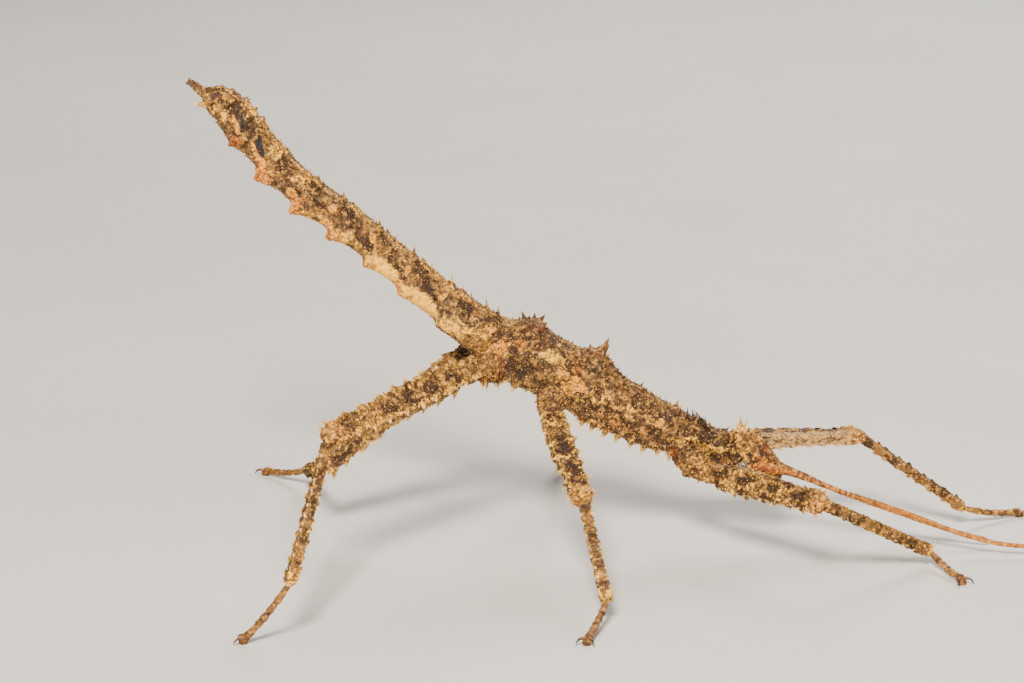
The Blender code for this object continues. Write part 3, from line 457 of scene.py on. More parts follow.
def body_points(at, angle, swell=0.0):
    """Points of the body's surface at these distances and angles from the middle of the back."""
    at = row_of(at)
    angle = row_of(angle)
    width, back, widest, belly = through(SECTION_ROWS, at).T
    point, _, up = frame_at(at)
    swell = swell + flap(at, angle) + relief(at, angle)
    side = np.sin(angle)
    rise = np.cos(angle)
    across = np.sign(side) * np.abs(side) ** BODY_POWER * (width + swell)
    height = np.where(rise >= 0, back - widest, widest - belly)
    level = widest + np.sign(rise) * np.abs(rise) ** BODY_POWER * (height + swell)
    return point + up * level[:, None] + np.stack([0 * at, across, 0 * at], axis=1)


def body_normals(at, angle):
    """Outward directions of the body's surface."""
    at = row_of(at)
    angle = row_of(angle)
    step = 0.10
    turn = 0.06
    along = body_points(at + step, angle) - body_points(at - step, angle)
    around = body_points(at, angle + turn) - body_points(at, angle - turn)
    return -unit(np.cross(along, around))


def distance_of(name, share):
    """Distance along the body of a place on one of its lengths."""
    start, length = SEGMENT_STARTS[name]
    return start + share * length


def closed_loft(rings):
    """Points and faces of a solid over rings of as many points, capped at both ends."""
    rings = np.asarray(rings, float)
    count, sides = rings.shape[:2]
    points = list(rings.reshape(-1, 3)) + [rings[0].mean(0), rings[-1].mean(0)]
    faces = []
    for i in range(count - 1):
        for k in range(sides):
            j = (k + 1) % sides
            faces.append((i * sides + k, i * sides + j, (i + 1) * sides + j, (i + 1) * sides + k))
    first = count * sides
    for k in range(sides):
        j = (k + 1) % sides
        faces.append((first, j, k))
        faces.append((first + 1, (count - 1) * sides + k, (count - 1) * sides + j))
    return np.array(points), faces


def trunk():
    """The head, thorax and abdomen as one solid."""
    angles = np.linspace(-math.pi, math.pi, BODY_SIDES, endpoint=False)
    first = body_points(np.zeros(BODY_SIDES), angles)
    middle = first.mean(0)
    forward = -frame_here(0.0)[1]
    rings = [middle + (first - middle) * share + forward * FRONT_DEPTH * math.sqrt(1 - share**2)
             for share in FRONT_SHARES]
    for at in np.arange(0.0, BODY_LENGTH, BODY_STEP):
        rings.append(body_points(np.full(BODY_SIDES, at), angles))
    return closed_loft(rings)


# How square in section the most angular tubes are, and how far their keels stand out.
SQUARENESS = 0.42
KEEL_RISE = 0.14


def tube(points, radii, ups, broad=1.0, corner=0.0, sides=28):
    """A closed tube over points. Corner makes it square in section, with four keels."""
    points = np.asarray(points, float)
    radii = np.asarray(radii, float)
    along = unit(np.gradient(points, axis=0))
    up = np.broadcast_to(np.asarray(ups, float), points.shape)
    over = unit(up - along * (up * along).sum(1, keepdims=True))
    across = np.cross(along, over)
    turns = np.linspace(0, 2 * math.pi, sides, endpoint=False)
    power = 1.0 - SQUARENESS * corner
    keel = 1.0 + KEEL_RISE * corner * np.abs(np.sin(2 * turns)) ** 4
    high = np.sign(np.cos(turns)) * np.abs(np.cos(turns)) ** power * keel
    wide = np.sign(np.sin(turns)) * np.abs(np.sin(turns)) ** power * keel * broad
    return closed_loft([
        points[i] + (over[i] * high[:, None] + across[i] * wide[:, None]) * radii[i]
        for i in range(len(points))])


def straight(start, end, shares):
    """Points at these shares of a straight line."""
    start = np.array(start)
    return start + (np.array(end) - start) * np.asarray(shares)[:, None]


def tarsus_radii(shares):
    """Half thickness along a foot, swollen at the end of each of its five joints."""
    shares = np.asarray(shares)
    radius = TARSUS_THICKNESS + (TARSUS_END_THICKNESS - TARSUS_THICKNESS) * shares**2
    for start, end in zip(TARSOMERE_ENDS, TARSOMERE_ENDS[1:]):
        within = (shares >= start) & (shares <= end)
        u = (shares - start) / (end - start)
        radius = np.where(within, radius * (0.80 + 0.32 * np.clip(u, 0, 1) ** 1.3), radius)
    return radius


class Leg:
    """The joints of one leg, and the plane that it bends in."""

    def __init__(self, name):
        self.name = name
        self.pair = name.split("_")[0]
        self.size = LEG_SIZES[self.pair]
        self.root, self.hip, self.knee, self.ankle, self.foot = map(Vector, LEGS[name])
        thigh = (self.knee - self.hip).normalized()
        shin = (self.ankle - self.knee).normalized()
        bend = thigh.cross(shin).normalized()
        self.femur_up = thigh.cross(bend).normalized() * -1.0
        self.tibia_up = shin.cross(bend).normalized() * -1.0
        if self.femur_up.z < 0:
            self.femur_up *= -1.0
            self.tibia_up *= -1.0

    def femur_radii(self, shares):
        """Half thickness along the thigh, with the trochanter's waist and the knee's lobes."""
        thick = self.size["femur"]
        knee = self.size["knee"]
        rows = ((-0.05, 0.70 * thick), (0.03, 0.84 * thick), (0.08, 0.82 * thick),
                (0.12, 0.72 * thick), (0.20, 0.93 * thick), (0.45, thick),
                (0.70, 0.86 * thick), (0.86, 0.80 * thick), (0.93, 0.94 * knee),
                (0.965, 0.90 * knee), (1.0, 0.78 * knee), (1.025, 0.55 * knee),
                (1.04, 0.30 * knee))
        return through(rows, shares)[:, 0]

    def tibia_radii(self, shares):
        """Half thickness along the shin, widened at its end."""
        thick = self.size["tibia"]
        rows = ((-0.02, 0.8 * thick), (0.0, thick), (0.06, 1.12 * thick), (0.14, 0.98 * thick),
                (0.40, thick), (0.70, thick), (0.90, 1.05 * thick), (0.97, self.size["end"]),
                (1.0, 0.75 * self.size["end"]))
        return through(rows, shares)[:, 0]

    def tarsus_line(self, shares):
        """Points of the foot's bent middle line, from the ankle to over the pad."""
        ankle = np.array(self.ankle)
        end = np.array(self.foot) + np.array((0.0, 0.0, TARSUS_HEIGHT))
        reach = (self.foot - self.ankle).length
        control = (ankle + end) / 2 - np.array((0.0, 0.0, reach * TARSUS_SAG))
        u = np.asarray(shares)[:, None]
        return (1 - u) ** 2 * ankle + 2 * u * (1 - u) * control + u**2 * end

    def solids(self):
        """Coxa, femur, tibia, foot and pad as closed solids."""
        shares = np.linspace(0.0, 1.04, 24)
        coxa = tube(straight(self.root, self.hip, shares),
                    through(COXA_PROFILE, shares)[:, 0] * self.size["coxa"],
                    np.array((self.hip - self.root).orthogonal()), sides=40)
        shares = np.linspace(-0.04, 1.04, 150)
        femur = tube(straight(self.hip, self.knee, shares), self.femur_radii(shares),
                     self.femur_up, self.size["broad"], 1.0, 56)
        shares = np.linspace(-0.01, 0.995, 120)
        tibia = tube(straight(self.knee, self.ankle, shares), self.tibia_radii(shares),
                     self.tibia_up, self.size["shin_broad"], 0.8, 40)
        shares = np.linspace(0.0, 1.0, 70)
        foot = tube(self.tarsus_line(shares), tarsus_radii(shares), (0.0, 0.0, 1.0))
        return [coxa, femur, self.collar(), tibia, foot, self.pad()]

    def collar(self):
        """The raised rim of the socket that the coxa stands in."""
        axis = unit(np.array(self.hip - self.root))
        across = unit(np.cross(axis, (1.0, 0.0, 0.2)))
        over = np.cross(axis, across)
        middle = np.array(self.root.lerp(self.hip, COLLAR_SHARE))
        turns = np.linspace(0, 2 * math.pi, 40)
        ring = across * np.cos(turns)[:, None] + over * np.sin(turns)[:, None]
        points = middle + ring * self.size["coxa"] * COLLAR_WIDTH
        return tube(points, np.full(len(turns), COLLAR_THICKNESS), axis, sides=12)

    def pad(self):
        """The round pad between the claws, flat on the floor."""
        ahead, side = self.foot_axes()
        middle = np.array(self.foot) + ahead * PAD_AHEAD
        turns = np.linspace(0, 2 * math.pi, 24, endpoint=False)
        ring = ahead * np.cos(turns)[:, None] + side * np.sin(turns)[:, None]
        return closed_loft([middle + ring * radius + np.array((0.0, 0.0, height))
                            for height, radius in PAD_PROFILE])

    def facing_in(self, turns):
        """How far the thigh's surface faces the insect's middle, from 0 to 1, at these turns."""
        along = (self.knee - self.hip).normalized()
        across = along.cross(self.femur_up)
        aside = self.femur_up.y * np.cos(turns) + across.y * np.sin(turns)
        return smooth_step(0.05, 0.55, -aside * math.copysign(1.0, self.hip.y))

    def foot_axes(self):
        """The level directions ahead of the foot and to its side."""
        reach = self.foot - self.ankle
        ahead = Vector((reach.x, reach.y, 0.0)).normalized()
        return np.array(ahead), np.array(ahead.cross(Vector((0.0, 0.0, 1.0))))


ALL_LEGS = [Leg(name) for name in LEGS]


def antenna_rows(word, side):
    """Distances and points of a feeler, from inside the head to its tip."""
    root_at = distance_of("head", ANTENNA_SHARE)
    inside_at = distance_of("head", ANTENNA_SHARE + ANTENNA_BACK)
    angle = math.radians(ANTENNA_ANGLE) * side
    inside = body_points(inside_at, angle, -ANTENNA_DEPTH)[0]
    root = body_points(root_at, angle)[0]
    route = [inside, root] + [np.array(point) for point in ANTENNA_ROUTES[word]]
    rows = [(0.0, *route[0])]
    for point in route[1:]:
        rows.append((rows[-1][0] + np.linalg.norm(point - np.array(rows[-1][1:])), *point))
    return rows


ANTENNAE = {"left": antenna_rows("left", 1), "right": antenna_rows("right", -1)}


def antenna_radii(rows, at):
    """Half thickness of a feeler: a broad scape, then a jointed whip that tapers."""
    scape = rows[1][0] + SCAPE_LENGTH
    end = rows[-1][0]
    table = ((0.0, 0.36), (rows[1][0], 0.39), (scape - 0.7, 0.45), (scape - 0.1, 0.34),
             (scape + 0.1, 0.28), (scape + 0.5, 0.31), (scape + 0.9, 0.26),
             (scape + 8.0, 0.24), (end - 0.8, 0.20), (end, 0.12))
    joints = 1.0 + WHIP_SWELL * np.sin(2 * math.pi * at / WHIP_JOINT)
    return through(table, at)[:, 0] * joints


def antenna_solid(word):
    """One feeler as a closed solid."""
    rows = ANTENNAE[word]
    at = np.arange(0.0, rows[-1][0], 0.10)
    return tube(through(rows, at), antenna_radii(rows, at), (0.0, 0.0, 1.0), sides=24)


# The plate over the mouth: distance ahead, half width, top and bottom. The palps: distance
# down from the root, to the side and ahead, and half thickness.
MOUTH_PLATE = ((-0.7, 0.75, 0.10, -1.0), (-0.2, 0.70, 0.02, -1.08), (0.1, 0.62, -0.1, -1.15),
               (0.26, 0.52, -0.28, -1.14), (0.36, 0.36, -0.48, -1.06))
PALP = ((-0.5, 0.0, 0.0, 0.24), (0.25, 0.15, 0.0, 0.22), (0.50, 0.20, 0.18, 0.19),
        (0.62, 0.22, 0.38, 0.22), (0.72, 0.18, 0.70, 0.18), (0.75, 0.15, 0.95, 0.22),
        (0.72, 0.08, 1.25, 0.20), (0.69, 0.05, 1.40, 0.10))
# The tube that ends the abdomen: distance to the rear and half thickness. The egg plate under
# it: share of its length and half thickness, and its width in thicknesses. Then the root,
# direction, length and half width of the plate's point, and the x behind which all has the
# tail's colour.
TAIL_TUBE = ((-0.6, 0.52), (0.2, 0.44), (0.8, 0.37), (1.3, 0.31), (1.6, 0.29), (1.7, 0.26))
EGG_PLATE = ((0.0, 0.46), (0.5, 0.42), (0.85, 0.36), (1.0, 0.28))
EGG_PLATE_BROAD = 1.7
PLATE_ROOT = (-26.55, 0.0, 39.90)
PLATE_POINT = (-1.0, 0.0, 0.03)
PLATE_POINT_LENGTH = 1.30
PLATE_POINT_WIDTH = 0.46
TAIL_FROM = -28.45


def mouth_solids():
    """The plate over the mouth and the palps."""
    point, rear, up = frame_here(0.0)
    side = np.array((0.0, 1.0, 0.0))
    turns = np.linspace(0, 2 * math.pi, 32, endpoint=False)
    rings = []
    for ahead, width, top, bottom in MOUTH_PLATE:
        level = (top + bottom) / 2 + (top - bottom) / 2 * np.cos(turns)
        rings.append(point - rear * ahead + up * level[:, None]
                     + side * (width * np.sin(turns))[:, None])
    made = [closed_loft(rings)]
    _, rear, up = frame_here(distance_of("head", 0.2))
    for hand in (1, -1):
        start = body_points(distance_of("head", 0.22), math.radians(150) * hand)[0]
        points = [start - up * down + side * hand * aside - rear * ahead
                  for down, aside, ahead, _ in PALP]
        made.append(tube(points, [row[-1] for row in PALP], side, sides=16))
    return made


def tail_solids():
    """The blunt tube that ends the abdomen, and the egg plate under it."""
    point, rear, up = frame_here(BODY_LENGTH)
    steps = np.linspace(TAIL_TUBE[0][0], TAIL_TUBE[-1][0], 18)
    blunt = tube([point + rear * step for step in steps], through(TAIL_TUBE, steps)[:, 0], up,
                 sides=24)
    start, _, up = frame_here(distance_of("abdomen_segment_09", 0.1))
    shares = np.linspace(0.0, 1.0, 14)
    plate = tube(straight(start - up * 0.62, PLATE_ROOT, shares),
                 through(EGG_PLATE, shares)[:, 0], up, EGG_PLATE_BROAD, sides=24)
    return [blunt, plate]


# The markings of both flanks, for each length of the body: share of its length, angle from the
# middle of the back, half length in mm, half angle and strength, and where a mark slants, the
# degrees that it turns for each mm.
DARK_MARKS = {
    "head": (
        (0.97, 66, 0.34, 15, 1.1), (0.87, 87, 0.42, 12, 1.2), (0.82, 108, 0.60, 15, 1.1),
        (0.76, 126, 0.70, 14, 1.0), (0.56, 112, 0.80, 14, 0.9), (0.51, 76, 0.22, 9, 0.9),
        (0.42, 46, 0.80, 13, 0.9), (0.27, 62, 0.60, 9, 0.9), (0.66, 60, 0.50, 8, 0.8),
        (0.63, 24, 0.40, 9, 0.8), (0.34, 20, 0.80, 10, 0.7),
    ),
    "prothorax": (
        (0.16, 28, 0.60, 30, 0.9), (0.80, 42, 1.50, 26, 1.15), (0.55, 106, 1.90, 14, 1.1),
        (0.45, 60, 0.90, 8, 0.8),
    ),
    "mesothorax": (
        (0.02, 44, 0.80, 30, 1.0), (0.11, 116, 0.55, 16, 1.1), (0.06, 150, 0.65, 20, 1.0),
        (0.13, 54, 0.48, 9, 1.6), (0.33, 38, 0.55, 12, 0.6), (0.30, 76, 1.60, 9, 0.8),
        (0.24, 102, 2.40, 14, 0.8), (0.53, 40, 0.40, 8, 1.2), (0.56, 77, 2.20, 8, 1.0),
        (0.55, 98, 2.20, 10, 0.9), (0.82, 77, 0.90, 10, 1.0), (0.78, 104, 1.30, 12, 0.8),
        (0.84, 36, 1.10, 14, 0.8), (0.42, 18, 0.90, 16, 0.5),
    ),
    "metathorax": (
        (0.11, 52, 1.10, 9, 1.5, 3), (0.24, 100, 1.30, 14, 0.8), (0.36, 26, 1.20, 10, 0.6),
        (0.63, 36, 1.00, 13, 0.9), (0.60, 80, 1.20, 12, 1.2), (0.80, 50, 0.22, 24, 0.9),
        (0.88, 98, 0.70, 12, 1.0),
    ),
    "abdomen_segment_01": ((0.14, 38, 1.30, 24, 0.9), (0.66, 54, 1.60, 15, 1.0, -10)),
    "abdomen_segment_02": ((0.50, 65, 2.50, 14, 1.2, -16),),
    "abdomen_segment_03": ((0.50, 66, 2.40, 14, 1.2, -18),),
    "abdomen_segment_04": ((0.52, 62, 2.20, 15, 1.2, -18),),
    "abdomen_segment_05": ((0.68, 56, 1.70, 20, 1.2, -14),),
    "abdomen_segment_06": (
        (0.06, 90, 0.80, 12, 0.9, -14), (0.74, 54, 1.20, 18, 0.7, -14), (0.42, 76, 0.60, 10, 0.9),
    ),
    "abdomen_segment_07": ((0.82, 56, 0.80, 40, 0.95), (0.72, 112, 0.90, 16, 0.75)),
    "abdomen_segment_08": ((0.90, 48, 0.80, 34, 0.85), (0.60, 104, 0.90, 16, 0.75)),
    "abdomen_segment_09": ((0.76, 68, 0.32, 14, 0.9), (0.74, 106, 0.40, 16, 0.9)),
    "abdomen_segment_10": ((0.50, 70, 0.40, 40, 0.6),),
}
PALE_MARKS = {
    "head": (
        (0.99, 22, 0.40, 18, 0.9), (0.92, 52, 0.30, 14, 1.1, -40), (0.80, 71, 0.50, 8, 1.2, -24),
        (0.74, 44, 0.50, 14, 0.5), (0.51, 10, 0.50, 12, 0.8),
    ),
    "prothorax": ((0.60, 77, 1.90, 8, 1.2),),
    "mesothorax": (
        (0.09, 79, 1.00, 8, 1.0), (0.60, 57, 2.60, 9, 0.8, 6), (0.36, 58, 1.40, 9, 0.65),
        (0.62, 116, 3.50, 10, 0.6), (0.97, 76, 0.80, 11, 1.1), (0.84, 64, 0.30, 9, 1.3),
    ),
    "metathorax": (
        (0.34, 50, 1.60, 9, 1.0, 9), (0.06, 90, 0.90, 10, 0.7), (0.95, 70, 1.30, 14, 0.9),
    ),
    "abdomen_segment_01": ((0.45, 26, 0.50, 12, 0.6), (0.40, 84, 1.40, 14, 0.8)),
    "abdomen_segment_04": ((0.60, 106, 1.30, 18, 0.9),),
    "abdomen_segment_05": ((0.50, 110, 1.10, 14, 0.7),),
    "abdomen_segment_06": (
        (0.16, 52, 0.60, 18, 0.9), (0.10, 28, 0.60, 20, 0.7), (0.66, 94, 0.80, 14, 0.6),
    ),
    "abdomen_segment_07": ((0.12, 50, 0.60, 20, 0.9),),
    "abdomen_segment_08": ((0.30, 20, 0.70, 20, 0.9),),
    "abdomen_segment_09": ((0.72, 40, 0.32, 16, 1.0), (0.22, 92, 0.22, 30, 1.0)),
    "abdomen_segment_10": ((0.40, 130, 0.70, 40, 0.8),),
}
WARM_MARKS = {
    "head": (
        (0.30, 84, 0.90, 34, 0.6), (0.20, 110, 0.90, 30, 0.5), (0.56, 82, 0.35, 14, 1.2),
        (0.90, 34, 0.50, 26, 0.5),
    ),
    "mesothorax": ((0.55, 88, 3.00, 7, 0.6), (0.97, 78, 0.90, 13, 0.7)),
    "metathorax": ((0.96, 68, 1.20, 12, 0.9), (0.71, 52, 0.70, 11, 0.8), (0.00, 46, 0.35, 7, 0.9)),
    "abdomen_segment_02": ((0.50, 140, 1.90, 9, 0.7), (0.93, 130, 0.50, 18, 1.0)),
    "abdomen_segment_03": ((0.50, 140, 1.70, 9, 0.7), (0.93, 130, 0.50, 18, 1.0)),
    "abdomen_segment_04": ((0.82, 118, 1.10, 21, 1.1),),
    "abdomen_segment_05": ((0.83, 116, 1.05, 21, 1.3),),
    "abdomen_segment_06": ((0.84, 116, 1.05, 21, 1.3),),
    "abdomen_segment_07": ((0.90, 118, 0.60, 16, 0.7),),
}
# Smooth pale plates along the lower sides of the front segments of the abdomen.
LENS_MARKS = {
    "abdomen_segment_01": ((0.74, 106, 1.40, 17, 0.9),),
    "abdomen_segment_02": ((0.50, 115, 2.15, 31, 1.3),),
    "abdomen_segment_03": ((0.50, 115, 2.00, 31, 1.3),),
}
# Narrow yellow-orange bars ahead of the flaps, and the black slits behind two of them.
BAR_MARKS = {
    "head": ((0.38, 68, 0.55, 4, 1.1), (0.80, 60, 0.55, 5, 0.9, -24)),
    "mesothorax": ((0.28, 52, 0.34, 8, 1.1), (0.95, 63, 0.80, 5, 1.1, -4)),
    "metathorax": ((0.09, 66, 0.90, 5, 1.1, 7),),
    "abdomen_segment_02": ((0.20, 60, 0.36, 12, 0.8),),
    "abdomen_segment_03": ((0.07, 64, 0.36, 12, 0.9),),
    "abdomen_segment_04": ((0.14, 62, 0.34, 12, 0.9),),
    "abdomen_segment_05": ((0.18, 66, 0.34, 12, 0.9), (0.19, 113, 0.44, 13, 1.1)),
    "abdomen_segment_06": ((0.17, 100, 0.46, 13, 1.1),),
    "abdomen_segment_07": ((0.12, 103, 0.46, 12, 1.2), (0.40, 94, 0.95, 7, 1.2, -13)),
    "abdomen_segment_08": ((0.32, 81, 0.80, 7, 1.2, -11),),
}
SLIT_MARKS = {
    "abdomen_segment_07": ((0.41, 73, 0.80, 11, 1.5, -14),),
    "abdomen_segment_08": ((0.26, 60, 0.55, 11, 0.9, -15),),
}
# Red-brown patches: beside the feeler's root, and the spots on the smooth plates.
RED_MARKS = {
    "head": ((0.24, 76, 0.50, 12, 1.0), (0.50, 68, 0.30, 7, 0.9), (0.40, 32, 0.40, 9, 0.7)),
    "mesothorax": ((0.11, 116, 0.50, 14, 0.9), (0.06, 150, 0.60, 18, 0.8)),
    "abdomen_segment_02": ((0.71, 113, 0.20, 7, 0.8),),
    "abdomen_segment_03": ((0.72, 112, 0.20, 7, 0.8),),
    "abdomen_segment_07": ((0.92, 122, 0.35, 10, 0.7),),
}


# How far out a mark keeps its strength, how far it fades, and how far it is looked for, in
# half lengths.
MARK_CORE = 0.60
MARK_EDGE = 1.45
MARK_REACH = 2.2


def marked(marks, at, degrees):
    """How strongly the marks of one kind cover each place."""
    value = np.zeros(len(at))
    for name, rows in marks.items():
        for share, angle, half_length, half_angle, strength, *slant in rows:
            middle = distance_of(name, share)
            near = np.abs(at - middle) < half_length * MARK_REACH
            off = at[near] - middle
            slope = slant[0] if slant else 0
            around = (degrees[near] - angle - slope * off) / half_angle
            reach = np.hypot(off / half_length, around)
            cover = strength * (1 - smooth_step(MARK_CORE, MARK_EDGE, reach))
            value[near] = np.maximum(value[near], cover)
    return value


def wobbled(points, scale, size):
    """Smooth random shifts of up to about the size, for these points."""
    moved = np.empty_like(points)
    for i, point in enumerate(points):
        moved[i] = noise.noise_vector(Vector(point * scale))
    return moved * size


# The parts that a point may lie on, and how far off it may lie from the middle line of a
# straight part of a leg and of a foot or feeler, in half thicknesses.
BODY, COXA, FEMUR, TIBIA, FOOT, FEELER = range(6)
LEG_REACH = 4.0
LINE_REACH = 3.0


class Place:
    """Where points lie on the insect: on which part, how far along it and how far round it."""

    def __init__(self, points):
        count = len(points)
        self.points = points
        at = np.arange(0.0, BODY_LENGTH, 0.05)
        centre, _, up = frame_at(at)
        widest = through(SECTION_ROWS, at)[:, 2]
        tree = kdtree.KDTree(len(at))
        for i, place in enumerate(centre):
            tree.insert(place, i)
        tree.balance()
        index = np.array([tree.find(point)[1] for point in points])
        self.at = at[index]
        off = points - centre[index]
        level = (off * up[index]).sum(1) - widest[index]
        self.angle = np.arctan2(off[:, 1], level)
        surface = body_points(self.at, self.angle)
        reach = np.linalg.norm(surface - centre[index], axis=1)
        self.depth = np.linalg.norm(off, axis=1) / np.maximum(reach, 0.1)
        self.part = np.zeros(count, int)
        self.share = np.zeros(count)
        self.turn = np.zeros(count)
        self.limb = np.full(count, -1)
        for number, leg in enumerate(ALL_LEGS):
            self.limb_part(number, COXA, leg.root, leg.hip, leg.femur_up,
                           lambda shares: np.full(len(shares), leg.size["coxa"]), 0.45)
            self.limb_part(number, FEMUR, leg.hip, leg.knee, leg.femur_up, leg.femur_radii, -0.04)
            self.limb_part(number, TIBIA, leg.knee, leg.ankle, leg.tibia_up, leg.tibia_radii, 0.05)
            shares = np.linspace(0, 1, 24)
            self.line_part(number, FOOT, leg.tarsus_line(shares), tarsus_radii(shares))
        for number, rows in enumerate(ANTENNAE.values()):
            at = np.arange(rows[1][0], rows[-1][0], 0.25)
            self.line_part(number, FEELER, through(rows, at), antenna_radii(rows, at))

    def limb_part(self, number, part, start, end, up, radii, first):
        """Take the points nearest to a straight part of a leg, from its first share on."""
        start = np.array(start)
        along = np.array(end) - start
        length = np.linalg.norm(along)
        shares = (self.points - start) @ along / length**2
        off = self.points - start - np.clip(shares, 0, 1)[:, None] * along
        radius = radii(np.clip(shares, 0, 1))
        depth = np.linalg.norm(off, axis=1) / np.maximum(radius, 0.05)
        mine = (depth < self.depth) & (shares > first) & (depth < LEG_REACH)
        up = np.array(up)
        across = np.cross(along / length, up)
        self.depth[mine] = depth[mine]
        self.part[mine] = part
        self.share[mine] = shares[mine]
        self.turn[mine] = np.arctan2(off[mine] @ across, off[mine] @ up)
        self.limb[mine] = number

    def line_part(self, number, part, line, radii):
        """Take the points nearest to a bent part, such as a foot or a feeler."""
        low = line.min(0) - 1.0
        high = line.max(0) + 1.0
        near = np.flatnonzero(((self.points > low) & (self.points < high)).all(1))
        if not len(near):
            return
        gap = np.linalg.norm(self.points[near][:, None, :] - line[None, :, :], axis=2)
        nearest = gap.argmin(1)
        depth = gap.min(1) / radii[nearest]
        mine = (depth < self.depth[near]) & (depth < LINE_REACH)
        chosen = near[mine]
        self.depth[chosen] = depth[mine]
        self.part[chosen] = part
        self.share[chosen] = nearest[mine] / (len(line) - 1)
        self.limb[chosen] = number


def bands(share, pattern, soft=0.02):
    """1 inside each (first, last) pair of shares and 0 outside, with soft ends."""
    value = np.zeros(len(share))
    for first, last in pattern:
        rise = smooth_step(first - soft, first + soft, share)
        value = np.maximum(value, rise * (1 - smooth_step(last - soft, last + soft, share)))
    return value


# The legs' markings, as shares of the thigh or shin: dark bands and pale spots between them,
# how dark the thighs are all over, and the bands of the foot. Then the share of a feeler that
# is its thick first joint.
FEMUR_BANDS = {
    "fore": ((0.14, 0.24), (0.36, 0.46), (0.56, 0.68), (0.80, 0.90)),
    "mid": ((0.42, 0.58), (0.70, 0.87)),
    "hind": ((0.08, 0.16), (0.26, 0.33), (0.41, 0.50), (0.54, 0.61), (0.81, 0.93)),
}
PALE_BANDS = {
    "fore": ((0.26, 0.34), (0.48, 0.55), (0.70, 0.78)),
    "mid": ((0.26, 0.37), (0.61, 0.67)),
    "hind": ((0.18, 0.24), (0.34, 0.39), (0.63, 0.68), (0.73, 0.78)),
}
TIBIA_BANDS = {
    "fore": ((0.04, 0.14), (0.24, 0.36), (0.46, 0.56), (0.66, 0.86)),
    "mid": ((0.06, 0.18), (0.32, 0.46), (0.60, 0.72), (0.84, 0.92)),
    "hind": ((0.04, 0.12), (0.22, 0.34), (0.46, 0.54), (0.66, 0.74), (0.86, 0.92)),
}
THIGH_DARKNESS = {"fore": 0.36, "mid": 0.60, "hind": 0.30}
FOOT_BANDS = ((0.27, 0.33), (0.43, 0.49), (0.57, 0.63), (0.70, 0.74), (0.92, 1.1))
SCAPE_SHARE = 0.085


def body_markings(points, place, shift):
    """The strengths of each kind of marking on the head, thorax and abdomen.

    The large marks wander with the random shift, and the small ones keep nearly still.
    """
    at = place.at + shift[:, 0]
    turned = np.abs(np.degrees(place.angle))
    degrees = turned + shift[:, 1] * 18
    steady_at = place.at + shift[:, 0] * 0.2
    steady = turned + shift[:, 1] * 6
    found = {
        "dark": marked(DARK_MARKS, at, degrees),
        "pale": marked(PALE_MARKS, at, degrees),
        "warm": marked(WARM_MARKS, at, degrees),
        "bar": marked(BAR_MARKS, steady_at, steady),
        "slit": marked(SLIT_MARKS, steady_at, steady),
        "red": marked(RED_MARKS, steady_at, steady),
        "ash": np.zeros(len(points)),
        "smooth": np.zeros(len(points)),
    }
    lens = marked(LENS_MARKS, steady_at, steady)
    abdomen = place.at > distance_of("abdomen_segment_01", 0.3)
    keel = abdomen * 0.75 * np.exp(-(((steady - 19) / 7.0) ** 2))
    belly = 0.35 * smooth_step(140, 165, degrees)
    thorax = bands(place.at, ((1.0, 28.0),), 1.5)
    found["pale"] = np.maximum.reduce([found["pale"], lens, keel, belly])
    rear_thorax = bands(place.at, ((21.5, 28.0),), 1.0)
    found["dark"] = np.maximum(found["dark"], 0.12 + 0.28 * thorax + 0.08 * rear_thorax)
    found["dark"] = found["dark"] * (1 - np.clip(lens, 0, 1)) * (1 - keel)
    found["smooth"] = np.clip(np.maximum(0.75 * lens, found["slit"]), 0, 1)
    tail = points[:, 0] < TAIL_FROM
    found["dark"][tail] = 0.55
    found["warm"][tail] = 0.9
    for value in found.values():
        value[place.part != BODY] = 0.0
    return found


def leg_markings(found, place, shift, number, leg):
    """Mark the bands, pale keels and knee of a leg, painted light on its thigh's underside, and its
    coxa.
    """
    share = place.share + shift[:, 2] * 0.035
    slant = (share + shift[:, 0] * 0.02 + 0.045 * np.sin(place.turn)
             + 0.03 * np.cos(2 * place.turn))
    broken = 0.50 + 0.50 * smooth_step(-0.40, 0.20, shift[:, 1])
    keel = np.abs(np.sin(2 * place.turn)) ** 4
    under = smooth_step(2.0, 2.6, np.abs(place.turn))
    knee = bands(share, ((0.93, 1.2),), 0.04)
    # The keels are pale, most of all the lower ones; the whole underside is also lightened, as
    # painted light standing in for light falling on it.
    keel_pale_and_painted_underside_light = np.maximum.reduce([0.9 * keel * under, 0.45 * keel, 0.45 * under])
    inner = leg.facing_in(place.turn) if leg.pair == "fore" else np.zeros(len(share))
    banded = bands(slant, FEMUR_BANDS[leg.pair], 0.04) * broken
    lenses = bands(slant + 0.01, PALE_BANDS[leg.pair], 0.04)
    thigh = (place.part == FEMUR) & (place.limb == number)
    found["ash"][thigh] = (inner * (1 - knee))[thigh]
    found["dark"][thigh] = ((THIGH_DARKNESS[leg.pair] + banded) * (1 - 0.6 * keel_pale_and_painted_underside_light)
                            * (1 - knee) * (1 - 0.8 * inner))[thigh]
    found["warm"][thigh] = (0.55 * knee)[thigh]
    found["pale"][thigh] = np.maximum.reduce([keel_pale_and_painted_underside_light, 0.50 * knee, 0.65 * lenses])[thigh]
    shin = (place.part == TIBIA) & (place.limb == number)
    found["dark"][shin] = 0.65 * bands(share, TIBIA_BANDS[leg.pair], 0.03)[shin]
    found["pale"][shin] = (0.35 * keel + 0.6 * bands(share, ((0.95, 1.1),)))[shin]
    found["smooth"][shin] = 0.25
    coxa = (place.part == COXA) & (place.limb == number)
    root = bands(share, ((0.40, 0.58),), 0.08) * (leg.pair != "fore")
    found["warm"][coxa] = 0.25
    found["pale"][coxa] = 0.40 if leg.pair == "fore" else 0.15
    found["dark"][coxa] = 0.15 + 0.5 * root[coxa]
    found["red"][coxa] = 0.7 * root[coxa]


